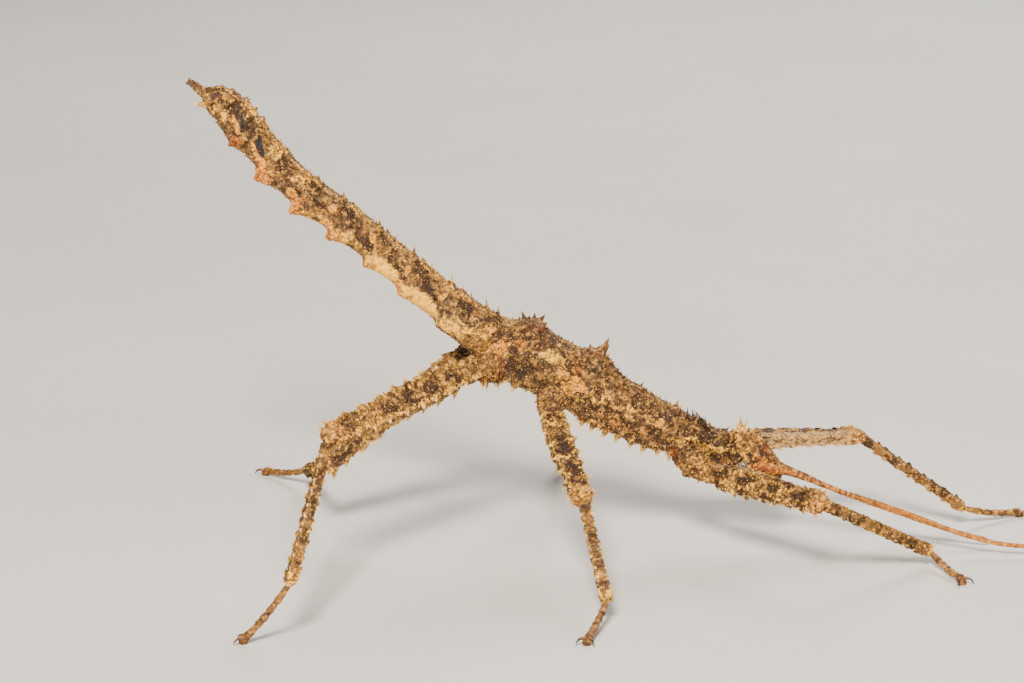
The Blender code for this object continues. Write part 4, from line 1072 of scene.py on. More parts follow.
def feeler_markings(found, points, place, shift):
    """Mark the rings of the feelers' whips, which fade, and their mottled first joints."""
    feeler = place.part == FEELER
    found["smooth"][feeler] = 0.9
    found["warm"][feeler] = 1.0
    phase = place.share * 150 + 3.0 * np.sin(place.share * 41) + shift[:, 2] * 6
    fading = 1 - 0.85 * smooth_step(0.22, 0.50, place.share)
    start = smooth_step(0.02, 0.06, place.share)
    found["dark"][feeler] = (smooth_step(0.35, 0.8, 0.5 + 0.5 * np.sin(phase))
                             * fading * start)[feeler]
    scape = feeler & (place.share < SCAPE_SHARE)
    found["dark"][scape] = 0.35
    mottle = wobbled(points[scape], 2.4, 1.0)
    found["red"][scape] = smooth_step(-0.10, 0.12, mottle[:, 0])
    found["bar"][scape] = 0.9 * smooth_step(0.0, 0.20, mottle[:, 1])


def markings(points, place):
    """The strengths of each kind of marking at these points, whose places are given too."""
    shift = wobbled(points, 0.9, 1.1) + wobbled(points, 2.6, 0.5)
    found = body_markings(points, place, shift)
    for number, leg in enumerate(ALL_LEGS):
        leg_markings(found, place, shift, number, leg)
    foot = place.part == FOOT
    found["smooth"][foot] = 0.9
    found["warm"][foot] = 0.35
    found["dark"][foot] = 0.22 + 0.35 * bands(place.share, FOOT_BANDS, 0.03)[foot]
    feeler_markings(found, points, place, shift)
    return found


def placed(name, data):
    """A new object of the scene, holding this mesh, lamp or camera."""
    obj = bpy.data.objects.new(name, data)
    bpy.context.scene.collection.objects.link(obj)
    return obj


def mesh_object(name, points, faces, fields, material, scale=MM, flat=None):
    """A smooth-shaded object with the markings, and a flat map if given, of its points."""
    mesh = bpy.data.meshes.new(name)
    mesh.from_pydata([tuple(point) for point in points * scale], [], faces)
    mesh.validate()
    mesh.update()
    for field, values in fields.items():
        layer = mesh.attributes.new(field, "FLOAT", "POINT")
        layer.data.foreach_set("value", np.asarray(values, np.float32))
    if flat is not None:
        corners = np.empty(len(mesh.loops), np.int32)
        mesh.loops.foreach_get("vertex_index", corners)
        spread = mesh.uv_layers.new(name="OFBake")
        spread.uv.foreach_set("vector", flat[corners].astype(np.float32).ravel())
    mesh.polygons.foreach_set("use_smooth", [True] * len(mesh.polygons))
    mesh.materials.append(material)
    return placed(name, mesh)


def merged(solids):
    """Several solids as one list of points and one of faces."""
    points = []
    faces = []
    for solid_points, solid_faces in solids:
        first = len(points)
        points.extend(map(tuple, solid_points))
        faces.extend(tuple(first + i for i in face) for face in solid_faces)
    return points, faces


def remeshed(solids):
    """Points and faces of one even skin over overlapping solids."""
    points, faces = merged(solids)
    mesh = bpy.data.meshes.new("rough")
    mesh.from_pydata(points, [], faces)
    rough = placed("rough", mesh)
    modifier = rough.modifiers.new("skin", "REMESH")
    modifier.mode = "VOXEL"
    modifier.voxel_size = VOXEL
    bpy.context.view_layer.update()
    graph = bpy.context.evaluated_depsgraph_get()
    made = bpy.data.meshes.new_from_object(rough.evaluated_get(graph))
    bpy.data.objects.remove(rough, do_unlink=True)
    count = len(made.vertices)
    skin = np.empty(count * 3, np.float32)
    made.vertices.foreach_get("co", skin)
    corners = np.empty(len(made.loops), np.int32)
    made.loops.foreach_get("vertex_index", corners)
    bpy.data.meshes.remove(made)
    return skin.reshape(-1, 3).astype(float), corners.reshape(-1, 4)


def relaxed(points, faces, rounds, amount):
    """The points drawn towards the middle of their neighbours."""
    edges = np.concatenate([faces[:, [i, (i + 1) % 4]] for i in range(4)])
    count = np.bincount(edges.ravel(), minlength=len(points))[:, None]
    for _ in range(rounds):
        total = np.zeros_like(points)
        for axis in range(3):
            total[:, axis] += np.bincount(edges[:, 0], points[edges[:, 1], axis], len(points))
            total[:, axis] += np.bincount(edges[:, 1], points[edges[:, 0], axis], len(points))
        points = points + (total / np.maximum(count, 1) - points) * amount
    return points


def face_facts(points, faces):
    """Middle, direction and area of each face, and the direction of each point."""
    corners = points[faces]
    cross = np.cross(corners[:, 2] - corners[:, 0], corners[:, 3] - corners[:, 1])
    area = np.linalg.norm(cross, axis=1) / 2
    outward = unit(cross)
    normals = np.zeros_like(points)
    for corner in range(4):
        for axis in range(3):
            normals[:, axis] += np.bincount(faces[:, corner], cross[:, axis], len(points))
    return corners.mean(1), outward, area, unit(normals)


# The bark-like roughness: features to the millimetre and height. Then the depth in mm that
# counts as fully low, and how often and how far the points of the skin are evened out first.
ROUGHNESS = ((1.3, 0.10), (3.1, 0.10), (6.4, 0.06))
# The depth that counts as fully low also sets how strongly the cuticle paints shade into low places
# and highlight onto raised ones.
LOW_DEPTH = 0.10
EVENING_ROUNDS = 3
EVENING_SHARE = 0.5


def roughened(points, normals, smooth):
    """The points moved in and out as on bark, less where smooth, and by how far each is."""
    lift = np.empty(len(points))
    for i, point in enumerate(points):
        here = Vector(point)
        lift[i] = sum(height * noise.noise(here * per_mm) for per_mm, height in ROUGHNESS)
    lift = lift * (1 - 0.85 * smooth)
    return points + normals * lift[:, None], lift


# How far across the patch of each cone is on the flat map, and the pieces of the body's coat,
# each with the length of the body that it begins at.
PATCH = 0.003
BODY_COATS = (("head", "head"), ("prothorax", "prothorax"), ("mesothorax", "mesothorax"),
              ("metathorax", "metathorax"), ("abdomen_front", "abdomen_segment_01"),
              ("abdomen_rear", "abdomen_segment_05"))
# The cones of each kind: share of the height, and radius there as a share of the foot's.
SPINE_PROFILE = ((-0.30, 1.35), (0.0, 1.0), (0.10, 0.74), (0.24, 0.50), (0.45, 0.34),
                 (0.72, 0.21), (0.92, 0.09))
GRAIN_PROFILE = ((-0.35, 1.0), (0.25, 0.95), (0.70, 0.66), (0.95, 0.28))
TOOTH_PROFILE = ((-0.30, 1.15), (0.0, 1.0), (0.18, 0.74), (0.40, 0.50), (0.65, 0.32),
                 (0.88, 0.14))
# The granules' radii in mm and how common each is, and how many stand on a square mm of the
# body, the legs and the middle of the belly.
GRAIN_SIZES = (0.042, 0.056, 0.072, 0.10)
GRAIN_CHANCES = (0.34, 0.36, 0.22, 0.08)
BODY_GRAINS = 11.0
LEG_GRAINS = 8.0
BELLY_GRAINS = 3.5
# The small thorns on a square mm of the middle of the back, of its sides and of the thighs.
KEEL_THORNS = 1.6
BACK_THORNS = 0.7
THIGH_THORNS = 0.5


def spikes(roots, axes, heights, radii, profile, sides, bend, ways, flat):
    """Points, faces, heights and flat places of many small cones, whose feet may be oval."""
    roots = np.asarray(roots, float)
    axes = unit(axes)
    heights = np.asarray(heights, float)[:, None, None]
    radii = np.asarray(radii, float)[:, None, None]
    if ways is None:
        ways = np.where(np.abs(axes[:, 2:3]) > 0.8, (1.0, 0.0, 0.0), (0.0, 0.0, 1.0))
    over = unit(np.cross(axes, ways))
    across = np.cross(over, axes)
    turns = np.linspace(0, 2 * math.pi, sides, endpoint=False)
    spread = (across[:, None, :] * np.cos(turns)[None, :, None]
              + over[:, None, :] * np.sin(turns)[None, :, None] * flat)
    rows = []
    tall = []
    spots = []
    for height, radius in profile + ((1.0, 0.0),):
        lean = 0.0 if bend is None else np.asarray(bend)[:, None, :] * max(height, 0.0) ** 2
        centre = roots[:, None, :] + axes[:, None, :] * heights * height + lean
        if radius:
            rows.append(centre + spread * radii * radius)
            tall.extend([height] * sides)
            spots.append(np.stack([np.cos(turns), np.sin(turns)], axis=1) * radius)
        else:
            rows.append(centre)
            tall.append(height)
            spots.append(np.zeros((1, 2)))
    points = np.concatenate(rows, axis=1)
    size = points.shape[1]
    one = []
    for row in range(len(profile) - 1):
        for k in range(sides):
            j = (k + 1) % sides
            one.append((row * sides + k, row * sides + j, (row + 1) * sides + j,
                        (row + 1) * sides + k))
    top = (len(profile) - 1) * sides
    for k in range(sides):
        one.append((top + k, top + (k + 1) % sides, size - 1, size - 1))
    faces = (np.arange(len(roots))[:, None, None] * size + np.array(one)[None]).reshape(-1, 4)
    spots = np.tile(np.concatenate(spots), (len(roots), 1)) / profile[0][1]
    return points.reshape(-1, 3), faces, np.tile(np.clip(tall, 0, 1), len(roots)), spots, size


class Coat:
    """Everything small that stands on the skin."""

    def __init__(self):
        self.added = []
        self.first = 0

    def add(self, roots, axes, heights, radii, profile, sides, tint, bend=None, ways=None,
            flat=1.0):
        """Cones of one kind, in one named colour or in one for each."""
        if not len(roots):
            return
        points, faces, tall, spots, size = spikes(roots, axes, heights, radii, profile, sides,
                                                  bend, ways, flat)
        tints = [tint] * len(roots) if isinstance(tint, str) else tint
        table = np.repeat(np.array([SPINE_TINTS[name] for name in tints]), size, axis=0)
        self.added.append((
            points, faces + self.first, table[:, 0] + table[:, 1] * tall**1.4, table[:, 2],
            table[:, 3] * (1 - 0.6 * tall), np.repeat(np.asarray(roots, float), size, axis=0),
            spots))
        self.first += len(points)

    def finished(self):
        """All the cones: points, faces, tips, redness, darkness, roots and flat places."""
        return [np.concatenate(column) for column in zip(*self.added)]


def coat_regions(place):
    """Which coat piece each root belongs to, and its place on an unwrap of the skin."""
    ends = np.array([distance_of(name, 0.0) for _, name in BODY_COATS] + [BODY_LENGTH])
    region = np.searchsorted(ends, place.at, side="right") - 1
    region = np.clip(region, 0, len(BODY_COATS) - 1)
    along = (place.at - ends[region]) / (ends[region + 1] - ends[region])
    on_leg = (place.part > BODY) & (place.part < FEELER)
    region = np.where(on_leg, len(BODY_COATS) + place.limb, region)
    along = np.where(on_leg, (place.part - COXA + np.clip(place.share, 0, 1)) / 4, along)
    turn = np.where(on_leg, place.turn, place.angle) / (2 * math.pi) + 0.5
    unwrapped = np.stack([np.clip(along, 0, 1), turn], axis=1)
    return region, unwrapped * (1 - 2 * PATCH) + PATCH


def coat_pieces(coat, material):
    """The coat as one object for each region of the body and each leg."""
    points, faces, tips, reds, shades, roots, spots = coat.finished()
    starts, back = np.unique(roots, axis=0, return_inverse=True)
    back = back.ravel()
    place = Place(starts)
    fields = {name: values[back] for name, values in markings(starts, place).items()}
    fields["dark"] = np.clip(fields["dark"] + shades, 0.0, 1.6)
    fields["low"] = np.zeros(len(points))
    fields["red"] = np.maximum(reds, 0.6 * fields["red"])
    fields["tip"] = tips
    points[:, 2] = np.maximum(points[:, 2], 0.0)
    region, unwrapped = coat_regions(place)
    region = region[back]
    flat = unwrapped[back] + spots * PATCH / 2
    names = [name for name, _ in BODY_COATS] + ["leg_" + leg.name for leg in ALL_LEGS]
    pieces = []
    for number, name in enumerate(names):
        chosen = np.flatnonzero(region == number)
        fresh = np.zeros(len(points), int)
        fresh[chosen] = np.arange(len(chosen))
        mine = fresh[faces[region[faces[:, 0]] == number]].tolist()
        corners = [face[:3] if face[2] == face[3] else face for face in mine]
        own = {key: values[chosen] for key, values in fields.items()}
        pieces.append(mesh_object("coat_" + name, points[chosen] + SHIFT, corners, own,
                                  material, MM, flat[chosen]))
    return pieces


def leaned(normals, rears, degrees):
    """Directions turned from the normals towards the rear by some degrees."""
    turn = np.radians(degrees)[:, None]
    rears = unit(rears - normals * (rears * normals).sum(1, keepdims=True))
    return unit(normals * np.cos(turn) + rears * np.sin(turn))


def body_spines(coat, draw):
    """The named spines of the head and body, with small ones about their feet."""
    # Length of the body, share, angle, height, half width, lean, colour and number of small ones.
    rows = []
    for name in SEGMENT_NAMES:
        for share, angle, height, radius, lean, tint in SPINES.get(name, ()):
            rows.append((name, share, angle, height, radius, lean, tint, 4))
        for first, last, number, angle, low, high, wide in FLANK_ROWS.get(name, ()):
            for i in range(number):
                share = first + (last - first) * i / (number - 1)
                height = (low + (high - low) * i / (number - 1)) * draw.uniform(0.75, 1.15)
                tint = "tooth" if angle > 130 else "tan"
                rows.append((name, share, angle, height, wide, 0, tint, 4 if angle > 90 else 2))
        if name.startswith("abdomen") and int(name[-2:]) <= len(ABDOMEN_SPINES):
            rear, front = ABDOMEN_SPINES[int(name[-2:]) - 1]
            rows.append((name, 1.11, 15, rear, 0.22, REAR_SPINE_LEAN, "bristle", 3))
            rows.append((name, 0.90, 18, front * 0.7, 0.20, REAR_SPINE_LEAN, "bristle", 2))
            rows.append((name, 0.69, 16, front, 0.18, REAR_SPINE_LEAN, "bristle", 2))
            rows.append((name, 0.70, 62, 0.34, 0.18, 0, "tan", 2))
            rows.append((name, 0.35, 84, 0.26, 0.16, 0, "tan", 1))
    cones = []
    for name, share, angle, tall, wide, tilt, tint, small in rows:
        for side in (1, -1):
            at = distance_of(name, share) + draw.uniform(-0.1, 0.1)
            turn = math.radians(angle + draw.uniform(-2, 2)) * side
            cones.append((at, turn, tall * draw.uniform(0.92, 1.08), wide,
                          tilt + draw.uniform(-5, 5), tint))
            for _ in range(small):
                cones.append((at + draw.uniform(-0.40, 0.40), turn + draw.uniform(-0.18, 0.18),
                              tall * draw.uniform(0.25, 0.55), wide * draw.uniform(0.45, 0.65),
                              tilt + draw.uniform(-25, 25), "tan" if tint == "red" else tint))
    at, turn, height, radius, lean, tints = (np.array(column) for column in zip(*cones))
    normals = body_normals(at, turn)
    rears = frame_at(at)[1]
    axes = leaned(normals, rears, lean)
    bend = rears * (height * 0.10)[:, None]
    coat.add(body_points(at, turn), axes, height, radius, SPINE_PROFILE, 10, tints, bend,
             rears, 0.85)


def leg_teeth(coat, leg, draw):
    """Large and small teeth along the keels of a femur and a tibia, and the knee's spines."""
    tall_tooth, apart = KEEL_TEETH[leg.pair]
    # Ends, direction, thickness and width of each part, the shares where its teeth begin and
    # end, how far apart and how high the large ones are, the small ones between, and the keels.
    parts = (
        (leg.hip, leg.knee, leg.femur_up, leg.femur_radii, leg.size["broad"], 0.11, 0.92,
         apart, tall_tooth, 4, KEEL_TURNS[leg.pair]),
        (leg.knee, leg.ankle, leg.tibia_up, leg.tibia_radii, leg.size["shin_broad"], 0.12, 0.97,
         1.20, 0.28, 2, SQUARE_TURNS),
    )
    for start, end, up, radii, broad, first, last, spacing, height, between, turns in parts:
        start = np.array(start)
        length = np.linalg.norm(np.array(end) - start)
        along = (np.array(end) - start) / length
        up = np.array(up)
        across = np.cross(along, up)
        number = int(length * (last - first) / spacing)
        for degrees in turns:
            teeth = []
            for i in range(number):
                large = first + (last - first) * (i + draw.uniform(0.3, 0.7)) / number
                teeth.append((large, height * draw.uniform(0.65, 1.2),
                              0.30 * spacing * draw.uniform(0.85, 1.15)))
                for k in range(between):
                    step = (k + 1) / (between + 1) + draw.uniform(-0.08, 0.08)
                    teeth.append((large + step * (last - first) / number,
                                  height * draw.uniform(0.22, 0.48),
                                  0.12 * spacing * draw.uniform(0.8, 1.2)))
            shares, tall, wide = (np.array(column) for column in zip(*teeth))
            turn = math.radians(degrees)
            high = math.copysign(abs(math.cos(turn)) ** KEEL_POWER, math.cos(turn))
            aside = math.copysign(abs(math.sin(turn)) ** KEEL_POWER, math.sin(turn))
            corner = up * high + across * aside * broad
            roots = (start + along * (shares * length)[:, None]
                     + corner * (radii(shares) * 1.04)[:, None])
            low = leg.pair == "fore" and corner[2] > 0.2
            tall = tall * (0.45 if low else 1.0)
            lean = np.array([draw.uniform(0.30, 0.85) for _ in shares])[:, None]
            ways = np.broadcast_to(along, roots.shape)
            coat.add(roots, unit(corner) + along * lean, tall, wide, TOOTH_PROFILE, 8,
                     "tan" if low else "tooth", None, ways, 0.55)
    along = np.array((leg.knee - leg.hip).normalized())
    up = np.array(leg.femur_up)
    across = np.cross(along, up)
    roots, axes = [], []
    for degrees in range(-165, 180, 30):
        turn = math.radians(degrees + draw.uniform(-8, 8))
        out = up * math.cos(turn) + across * math.sin(turn) * leg.size["broad"]
        back = draw.uniform(0.3, 0.9)
        roots.append(np.array(leg.knee) - along * back + out * leg.size["knee"] * 0.85)
        axes.append(unit(out) + along * draw.uniform(0.5, 1.2))
    tall = np.array([(0.30 + 0.65 * tall_tooth) * draw.uniform(0.75, 1.15) for _ in roots])
    coat.add(roots, axes, tall, tall * 0.30 + 0.07, SPINE_PROFILE, 9, "cream")


def coxa_spines(coat, leg, draw):
    """The spines that hang from the underside of the coxa, and the small ones round it."""
    number, longest = COXA_SPINES[leg.pair]
    along = (leg.hip - leg.root).normalized()
    down = Vector((0.0, 0.0, -1.0))
    out = (down - along * down.dot(along)).normalized()
    across = along.cross(out)
    roots, axes, tall = [], [], []
    for i in range(number):
        share = 0.42 + 0.52 * i / (number - 1)
        turn = math.radians(draw.uniform(-30, 30))
        direction = out * math.cos(turn) + across * math.sin(turn)
        roots.append(leg.root.lerp(leg.hip, share) + direction * leg.size["coxa"] * 0.90)
        axes.append(direction)
        tall.append(longest * draw.uniform(0.65, 1.05))
    for _ in range(SMALL_COXA_SPINES):
        share = draw.uniform(0.45, 0.98)
        turn = draw.uniform(-math.pi, math.pi)
        direction = out * math.cos(turn) + across * math.sin(turn)
        roots.append(leg.root.lerp(leg.hip, share) + direction * leg.size["coxa"] * 0.92)
        axes.append(direction + along * draw.uniform(-0.3, 0.4))
        tall.append(draw.uniform(0.16, 0.34))
    tall = np.array(tall)
    coat.add(roots, axes, tall, tall * 0.20 + 0.07, SPINE_PROFILE, 8, "tan")


def grains(coat, skin):
    """The round pale-tipped granules that cover the cuticle, and small thorns among them."""
    middles, outward, area, fields = skin
    chance = np.random.default_rng(SEED)
    place = Place(middles)
    degrees = np.abs(np.degrees(place.angle))
    on_body = place.part == BODY
    density = np.where(on_body, BODY_GRAINS, LEG_GRAINS)
    density = density * (1 - 0.45 * np.clip(fields["pale"], 0, 1)) * (1 - fields["smooth"])
    density = np.where(place.part >= FOOT, 0.0, density)
    density = np.where(on_body & (degrees > 150), BELLY_GRAINS, density)
    chosen = np.flatnonzero(chance.random(len(area)) < area * density)
    size = chance.choice(GRAIN_SIZES, len(chosen), p=GRAIN_CHANCES)
    tints = np.where(size > 0.08, "tan", "grain")
    coat.add(middles[chosen], outward[chosen], size * 1.1, size, GRAIN_PROFILE, 5, tints)
    back = on_body & (degrees < 90) & (fields["smooth"] < 0.3)
    keel = back & (degrees < 24)
    likely = np.where(place.part < TIBIA, THIGH_THORNS, 0.0)
    likely = np.where(keel, KEEL_THORNS, np.where(back, BACK_THORNS, likely))
    thorns = np.flatnonzero(chance.random(len(area)) < area * likely)
    axes = outward[thorns] + chance.normal(0, 0.25, (len(thorns), 3))
    tall = chance.uniform(0.16, 0.38, len(thorns))
    coat.add(middles[thorns], axes, tall, 0.05 + tall * 0.22, SPINE_PROFILE, 7, "bristle")


def node(tree, kind, values=(), **settings):
    """A shader node with settings and input values by name or number."""
    made = tree.nodes.new(kind)
    for key, value in settings.items():
        setattr(made, key, value)
    for key, value in dict(values).items():
        made.inputs[key].default_value = value
    return made


class Nodes:
    """A material's node tree, with short names for the nodes that it uses most."""

    def __init__(self, name):
        self.material = bpy.data.materials.new(name)
        self.material.use_nodes = True
        self.tree = self.material.node_tree
        self.shader = self.tree.nodes["Principled BSDF"]
        self.where = node(self.tree, "ShaderNodeTexCoord").outputs["Object"]

    def link(self, source, target):
        """Join one socket to another."""
        self.tree.links.new(source, target)

    def field(self, name):
        """A number stored on the points."""
        return node(self.tree, "ShaderNodeAttribute", attribute_name=name).outputs["Fac"]

    def noise(self, per_mm, detail=3.0, roughness=0.55):
        """Noise with this many features to the millimetre."""
        made = node(self.tree, "ShaderNodeTexNoise",
                    {"Scale": per_mm / MM, "Detail": detail, "Roughness": roughness})
        self.link(self.where, made.inputs["Vector"])
        return made.outputs["Fac"]

    def cells(self, per_mm):
        """Small cells: the distance from their middles, and a random number for each."""
        made = node(self.tree, "ShaderNodeTexVoronoi", {"Scale": per_mm / MM, "Randomness": 1.0})
        self.link(self.where, made.inputs["Vector"])
        parts = node(self.tree, "ShaderNodeSeparateColor")
        self.link(made.outputs["Color"], parts.inputs["Color"])
        return made.outputs["Distance"], parts.outputs["Red"]

    def math(self, operation, first, second=None, clamp=False):
        """One sum on numbers or sockets."""
        made = node(self.tree, "ShaderNodeMath", operation=operation, use_clamp=clamp)
        for index, value in enumerate((first, second)):
            if value is None:
                continue
            if isinstance(value, (int, float)):
                made.inputs[index].default_value = value
            else:
                self.link(value, made.inputs[index])
        return made.outputs[0]

    def sum(self, *terms):
        """The sum of sockets, each with a number to subtract from it and one to multiply by."""
        total = None
        for socket, less, times in terms:
            made = node(self.tree, "ShaderNodeMath", operation="MULTIPLY_ADD")
            self.link(socket, made.inputs[0])
            made.inputs[1].default_value = times
            made.inputs[2].default_value = -less * times
            total = made.outputs[0] if total is None else self.math("ADD", total, made.outputs[0])
        return total

    def ramp(self, value, low, high, first=0.0, last=1.0):
        """A value turned into a smooth rise from first to last between low and high."""
        made = node(self.tree, "ShaderNodeMapRange",
                    {"From Min": low, "From Max": high, "To Min": first, "To Max": last},
                    interpolation_type="SMOOTHSTEP")
        self.link(value, made.inputs["Value"])
        return made.outputs["Result"]

    def mix(self, share, first, second, blend="MIX"):
        """Two colours mixed, each given as a colour or a socket."""
        made = node(self.tree, "ShaderNodeMix", data_type="RGBA", blend_type=blend)
        if isinstance(share, (int, float)):
            made.inputs["Factor"].default_value = share
        else:
            self.link(share, made.inputs["Factor"])
        for value, index in ((first, 6), (second, 7)):
            if isinstance(value, tuple):
                made.inputs[index].default_value = (*value, 1.0)
            else:
                self.link(value, made.inputs[index])
        return made.outputs[2]

    def painted(self, colour, layers):
        """A colour under layers: what brings each out, where it begins and is full, and paint."""
        for terms, low, high, most, paint in layers:
            colour = self.mix(self.ramp(self.sum(*terms), low, high, 0.0, most), colour, paint)
        return colour

    def finished(self, colour, roughness, normal):
        """The material, with its colour, roughness and bumps joined to the shader."""
        for source, name in ((colour, "Base Color"), (roughness, "Roughness"),
                             (normal, "Normal")):
            self.link(source, self.shader.inputs[name])
        return self.material

    def bump(self, height, distance, strength, below=None):
        """A bump of this depth in metres, over another where given."""
        made = node(self.tree, "ShaderNodeBump", {"Distance": distance, "Strength": strength})
        self.link(height, made.inputs["Height"])
        if below is not None:
            self.link(below, made.inputs["Normal"])
        return made.outputs["Normal"]


def linear(red, green, blue):
    """A colour in linear light from its usual 0 to 255 numbers."""
    values = []
    for value in (red, green, blue):
        share = value / 255
        values.append(share / 12.92 if share <= 0.04045 else ((share + 0.055) / 1.055) ** 2.4)
    return tuple(values)


# The cuticle's colours.
TAN = linear(158, 108, 44)
LIGHT_TAN = linear(226, 163, 66)
DARK_BROWN = linear(72, 46, 26)
DEEP_BROWN = linear(26, 13, 6)
PALE_ORANGE = linear(255, 186, 56)
CREAM = linear(255, 204, 112)
RUST = linear(150, 84, 16)
PINK_ORANGE = linear(240, 140, 44)
YELLOW_ORANGE = linear(255, 168, 30)
SLATE = linear(16, 18, 26)
SPINE_RED = linear(118, 50, 20)
GREY_BROWN = linear(98, 70, 46)
ASH = linear(192, 150, 98)


def cuticle():
    """The mottled, granular cuticle of the body and legs, and of all that stands on it, with
    painted shade in its low places and seams and painted highlight on its raised places.
    """
    n = Nodes("cuticle")
    dark, pale, warm, smooth, tip, low = (
        n.field(name) for name in ("dark", "pale", "warm", "smooth", "tip", "low"))
    broad = n.noise(0.55, 4.0, 0.6)
    small = n.noise(2.2, 4.0, 0.6)
    tiny = n.noise(8.0, 3.0, 0.65)
    patch = n.cells(2.1)[1]
    pebble, fleck = n.cells(4.6)
    rough_skin = n.math("SUBTRACT", 1.0, smooth, clamp=True)

    colour = n.painted(n.mix(n.ramp(broad, 0.38, 0.64), TAN, GREY_BROWN), (
        (((small, 0.5, 1.6), (patch, 0.5, 0.5)), 0.06, 0.46, 0.85, LIGHT_TAN),
        (((dark, 0.0, 0.85), (patch, 0.5, -0.42), (small, 0.5, -1.5), (fleck, 0.5, 0.35)),
         0.12, 0.60, 0.95, DARK_BROWN),
        (((dark, 0.0, 0.58), (tiny, 0.5, 2.0), (fleck, 0.5, 0.5)), 0.45, 1.05, 0.85, DEEP_BROWN),
        (((pale, 0.0, 0.80), (small, 0.5, 1.3), (fleck, 0.5, 0.6)), 0.32, 0.86, 0.90, PALE_ORANGE),
        (((warm, 0.0, 0.85), (broad, 0.5, 0.8), (fleck, 0.5, 0.5)), 0.32, 0.95, 0.80, PINK_ORANGE),
    ))
    feeler = n.math("MULTIPLY", n.ramp(smooth, 0.6, 0.9), n.ramp(warm, 0.75, 1.0))
    whip = n.mix(n.ramp(small, 0.44, 0.62, 0.0, 0.55), RUST, LIGHT_TAN)
    striped = n.mix(n.ramp(dark, 0.15, 0.70), whip, DARK_BROWN)
    colour = n.painted(n.mix(n.math("MULTIPLY", feeler, 0.85), colour, striped), (
        (((n.field("ash"), 0.0, 0.9), (small, 0.5, 1.0)), 0.15, 0.85, 0.85, ASH),
        (((n.field("bar"), 0.0, 1.0), (tiny, 0.5, 0.6)), 0.30, 0.80, 0.85, YELLOW_ORANGE),
        (((n.field("slit"), 0.0, 1.0), (tiny, 0.5, 0.4)), 0.42, 0.72, 0.95, SLATE),
    ))

    # Painted shade: the low places of the roughened skin and the seams between the pebble cells are
    # darkened towards deep brown.
    painted_recess_shade = n.sum((low, 0.0, 0.34), (pebble, 0.42, 1.1), (tiny, 0.5, 0.5))
    colour = n.mix(n.math("MULTIPLY", n.ramp(painted_recess_shade, 0.02, 0.42, 0.0, 0.72), rough_skin), colour,
                   DEEP_BROWN)
    # Painted highlight: the raised places of the roughened skin are lightened towards light tan.
    ridges = n.math("MULTIPLY", n.ramp(low, -0.25, -0.85, 0.0, 0.40), rough_skin)
    colour = n.mix(ridges, colour, LIGHT_TAN)
    dots = n.math("MULTIPLY", n.ramp(pebble, 0.28, 0.08, 0.0, 0.5), rough_skin)
    colour = n.mix(n.math("MULTIPLY", dots, n.ramp(fleck, 0.45, 0.80)), colour, CREAM)
    colour = n.mix(n.ramp(tip, 0.25, 1.0, 0.0, 0.88), colour, CREAM)
    colour = n.mix(n.math("MULTIPLY", n.field("red"), 0.85), colour, SPINE_RED)
    shade = n.sum((fleck, 0.5, 0.45), (tiny, 0.5, 1.5), (small, 0.5, 0.7))
    shade = n.math("ADD", shade, 1.0)
    colour = n.mix(1.0, colour, shade, "MULTIPLY")

    n.shader.inputs["Specular IOR Level"].default_value = 0.28
    pebbles = n.math("MULTIPLY", n.ramp(pebble, 0.60, 0.05), rough_skin)
    height = n.sum((pebbles, 0.0, 0.6), (tiny, 0.5, 0.6))
    below = n.bump(small, 0.10 * MM, 0.7)
    return n.finished(colour, n.ramp(tiny, 0.3, 0.7, 0.42, 0.74),
                      n.bump(height, 0.08 * MM, 1.0, below))


def eye_material():
    """A grey compound eye with a darker streak and fine facets."""
    n = Nodes("eye_grey")
    streak = n.ramp(n.noise(2.2, 3.0), 0.40, 0.60)
    colour = n.mix(streak, linear(168, 152, 132), linear(80, 62, 52))
    facets = n.cells(16.0)[0]
    colour = n.mix(n.ramp(facets, 0.2, 0.5, 0.0, 0.35), colour, linear(30, 24, 24))
    n.shader.inputs["Coat Weight"].default_value = 0.5
    n.shader.inputs["Coat Roughness"].default_value = 0.12
    return n.finished(colour, n.ramp(facets, 0.1, 0.6, 0.16, 0.30),
                      n.bump(n.ramp(facets, 0.6, 0.0), 0.012 * MM, 0.6))


def claw_material():
    """Smooth claws, brown at the root and almost black at the point."""
    n = Nodes("claw_brown")
    grain = n.noise(6.0, 3.0)
    colour = n.mix(n.ramp(n.field("tip"), 0.15, 0.75), linear(150, 98, 58), linear(44, 28, 22))
    colour = n.mix(n.ramp(grain, 0.4, 0.8, 0.0, 0.3), colour, linear(110, 74, 48))
    return n.finished(colour, n.ramp(grain, 0.3, 0.7, 0.25, 0.40), n.bump(grain, 0.01 * MM, 0.4))


def floor_material():
    """A plain pale floor with a faint mottle."""
    n = Nodes("floor_pale")
    cloud = n.noise(0.02, 3.0)
    n.link(n.mix(n.ramp(cloud, 0.3, 0.7), linear(226, 222, 214), linear(218, 214, 206)),
           n.shader.inputs["Base Color"])
    n.link(n.ramp(cloud, 0.3, 0.7, 0.62, 0.70), n.shader.inputs["Roughness"])
    return n.material


# How many sides a claw has.
CLAW_SIDES = 14


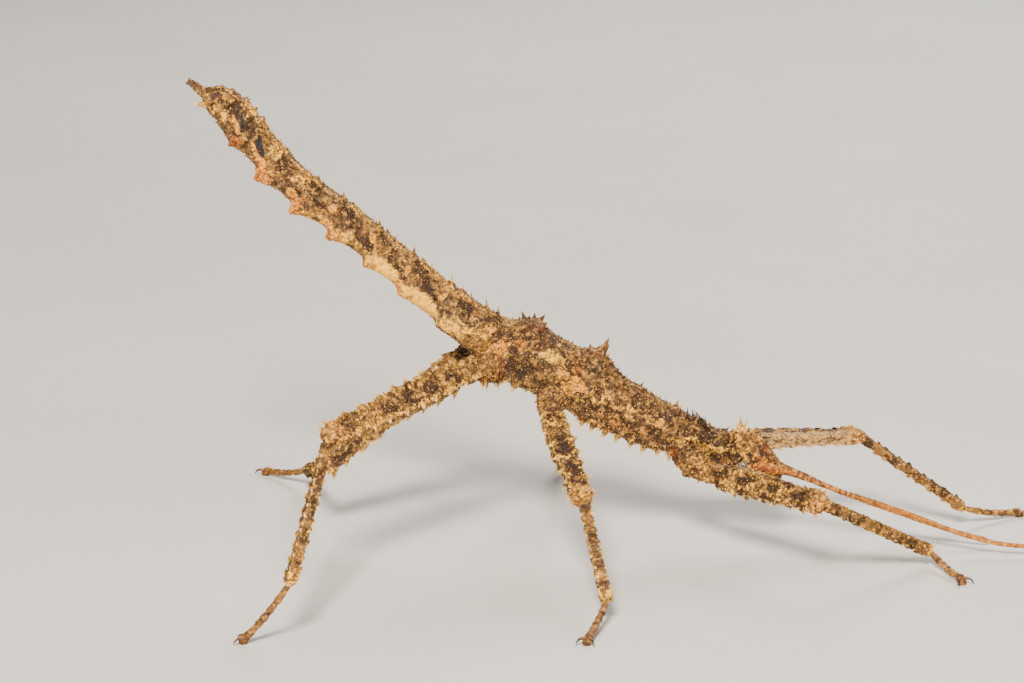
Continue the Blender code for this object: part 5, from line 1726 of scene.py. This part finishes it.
def claws(leg, material):
    """The two curved claws of a foot."""
    ahead, side = leg.foot_axes()
    up = np.array((0.0, 0.0, 1.0))
    root = np.array(leg.foot) + up * TARSUS_HEIGHT
    shares = np.linspace(0, 1, 22)
    radii = 0.17 * (1 - shares) ** 0.7 + 0.015
    pair = []
    for hand in (1, -1):
        out = side * hand
        route = ((0.0, *(root + out * 0.02 - ahead * 0.15)),
                 (0.3, *(root + out * 0.30 + ahead * 0.20 + up * 0.08)),
                 (0.6, *(root + out * 0.58 + ahead * 0.52 + up * 0.04)),
                 (0.85, *(root + out * 0.73 + ahead * 0.74 - up * 0.16)),
                 (1.0, *(root + out * 0.76 + ahead * 0.82 - up * 0.38)))
        pair.append(tube(through(route, shares), radii, up, 0.8, sides=CLAW_SIDES))
    points, faces = merged(pair)
    tips = (list(np.repeat(shares, CLAW_SIDES)) + [0.0, 1.0]) * 2
    return mesh_object("claws_" + leg.name, np.array(points) + SHIFT, faces, {"tip": tips},
                       material)


def eye_centre(side):
    """The middle of the eye on this side."""
    at = distance_of("head", EYE_SHARE)
    angle = math.radians(EYE_ANGLE) * side
    return body_points(at, angle)[0] - body_normals(at, angle)[0] * EYE_SINK


def eye(word, side, material):
    """A round eye set into the side of the head."""
    turns = np.linspace(0, 2 * math.pi, 48, endpoint=False)
    rings = []
    for polar in np.linspace(0.04, math.pi - 0.04, 28):
        ring = np.stack([np.sin(polar) * np.cos(turns), np.sin(polar) * np.sin(turns),
                         np.full(len(turns), np.cos(polar))], axis=1)
        rings.append(eye_centre(side) + ring * EYE_RADIUS)
    points, faces = closed_loft(rings)
    return mesh_object("eyeball_" + word, points + SHIFT, faces, {}, material)


def shift_of_frame():
    """How far the insect's own frame lies from the solids', in millimetres."""
    low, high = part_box("eye_right")
    there = (np.array(low) + np.array(high)) / 2 / MM
    return np.round(there - eye_centre(-1), 2) * np.array((1.0, 1.0, 0.0))


SHIFT = shift_of_frame()


def build_insect():
    """The skin, its coat, the eyes and the claws, each on the solids that it stands for."""
    draw = random.Random(SEED)
    noise.seed_set(SEED)
    skin_material = cuticle()
    solids = [trunk()] + mouth_solids() + tail_solids()
    for leg in ALL_LEGS:
        solids += leg.solids()
    solids += [antenna_solid(word) for word in ANTENNAE]
    points, faces = remeshed(solids)
    points = relaxed(points, faces, EVENING_ROUNDS, EVENING_SHARE)
    fields = markings(points, Place(points))
    normals = face_facts(points, faces)[3]
    points, lift = roughened(points, normals, fields["smooth"])
    # How low each point lies, which the cuticle darkens with painted shade where low and lightens
    # with painted highlight where raised.
    fields["low"] = np.clip(-lift / LOW_DEPTH, -1.0, 1.0)
    points[:, 2] = np.maximum(points[:, 2], 0.0)
    skin = mesh_object("insect_skin", points + SHIFT, faces.tolist(),
                       {**fields, "tip": np.zeros(len(points))}, skin_material)

    coat = Coat()
    body_spines(coat, draw)
    for leg in ALL_LEGS:
        leg_teeth(coat, leg, draw)
        coxa_spines(coat, leg, draw)
    coat.add([PLATE_ROOT], [PLATE_POINT], [PLATE_POINT_LENGTH], [PLATE_POINT_WIDTH],
             TOOTH_PROFILE, 14, "cream")
    middles, outward, area, _ = face_facts(points, faces)
    on_faces = {name: values[faces].mean(1) for name, values in fields.items()}
    grains(coat, (middles, outward, area, on_faces))

    flesh = [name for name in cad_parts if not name.startswith("eye_")]
    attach(skin, "root")
    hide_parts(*flesh)
    for piece in coat_pieces(coat, skin_material):
        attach(piece, "root")
    eyes = eye_material()
    for word, side in (("left", 1), ("right", -1)):
        ball = eye(word, side, eyes)
        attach(ball, "root")
        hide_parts("eye_" + word)
    dark = claw_material()
    for leg in ALL_LEGS:
        pair = claws(leg, dark)
        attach(pair, "root")


# The stage, in metres: half the floor's side, the lamps by place, size, power and colour, the
# point that they face, and the light of the sky.
FLOOR_REACH = 3.0
LAMPS = {
    "key": ((-0.06, -0.36, 0.32), 0.10, 4.9, (1.0, 0.93, 0.82)),
    "fill": ((0.38, -0.24, 0.20), 0.26, 0.7, (1.0, 0.97, 0.93)),
    "rim": ((0.10, 0.36, 0.30), 0.20, 1.6, (1.0, 0.97, 0.92)),
}
LAMP_AIM = (0.0, 0.0, 0.015)
SKY_COLOUR = (0.96, 0.95, 0.93, 1.0)
SKY_STRENGTH = 0.24
# The camera: degrees that it looks down by, and distance, target, lens and sensor in mm.
CAMERA_ELEVATION = 14.0
CAMERA_DISTANCE = 300.0
CAMERA_TARGET = (0.0, 0.0, 18.6)
LENS = 118.86
SENSOR = 36.0


def build_stage():
    """The pale floor, soft studio lights and the camera."""
    signs = ((-1, -1), (1, -1), (1, 1), (-1, 1))
    corners = np.array([(x * FLOOR_REACH, y * FLOOR_REACH, 0.0) for x, y in signs])
    floor = mesh_object("floor", corners, [(0, 1, 2, 3)], {}, floor_material(), 1.0)

    for name, (spot, size, power, colour) in LAMPS.items():
        lamp = bpy.data.lights.new(name, "AREA")
        lamp.size = size
        lamp.energy = power
        lamp.color = colour
        obj = placed(name, lamp)
        obj.location = spot
        aim = Vector(LAMP_AIM) - obj.location
        obj.rotation_euler = aim.to_track_quat("-Z", "Y").to_euler()
    world = bpy.data.worlds.new("studio")
    world.use_nodes = True
    sky = world.node_tree.nodes["Background"]
    sky.inputs["Color"].default_value = SKY_COLOUR
    sky.inputs["Strength"].default_value = SKY_STRENGTH
    bpy.context.scene.world = world

    elevation = math.radians(CAMERA_ELEVATION)
    target = np.array(CAMERA_TARGET) + SHIFT
    camera_data = bpy.data.cameras.new("camera")
    camera_data.lens = LENS
    camera_data.sensor_width = SENSOR
    camera_data.clip_start = 0.01
    camera_data.clip_end = 20.0
    camera = placed("camera", camera_data)
    back = np.array((0.0, -math.cos(elevation), math.sin(elevation)))
    camera.location = (target + back * CAMERA_DISTANCE) * MM
    camera.rotation_euler = Vector(-back).to_track_quat("-Z", "Y").to_euler()
    bpy.context.scene.camera = camera


build_insect()
build_stage()
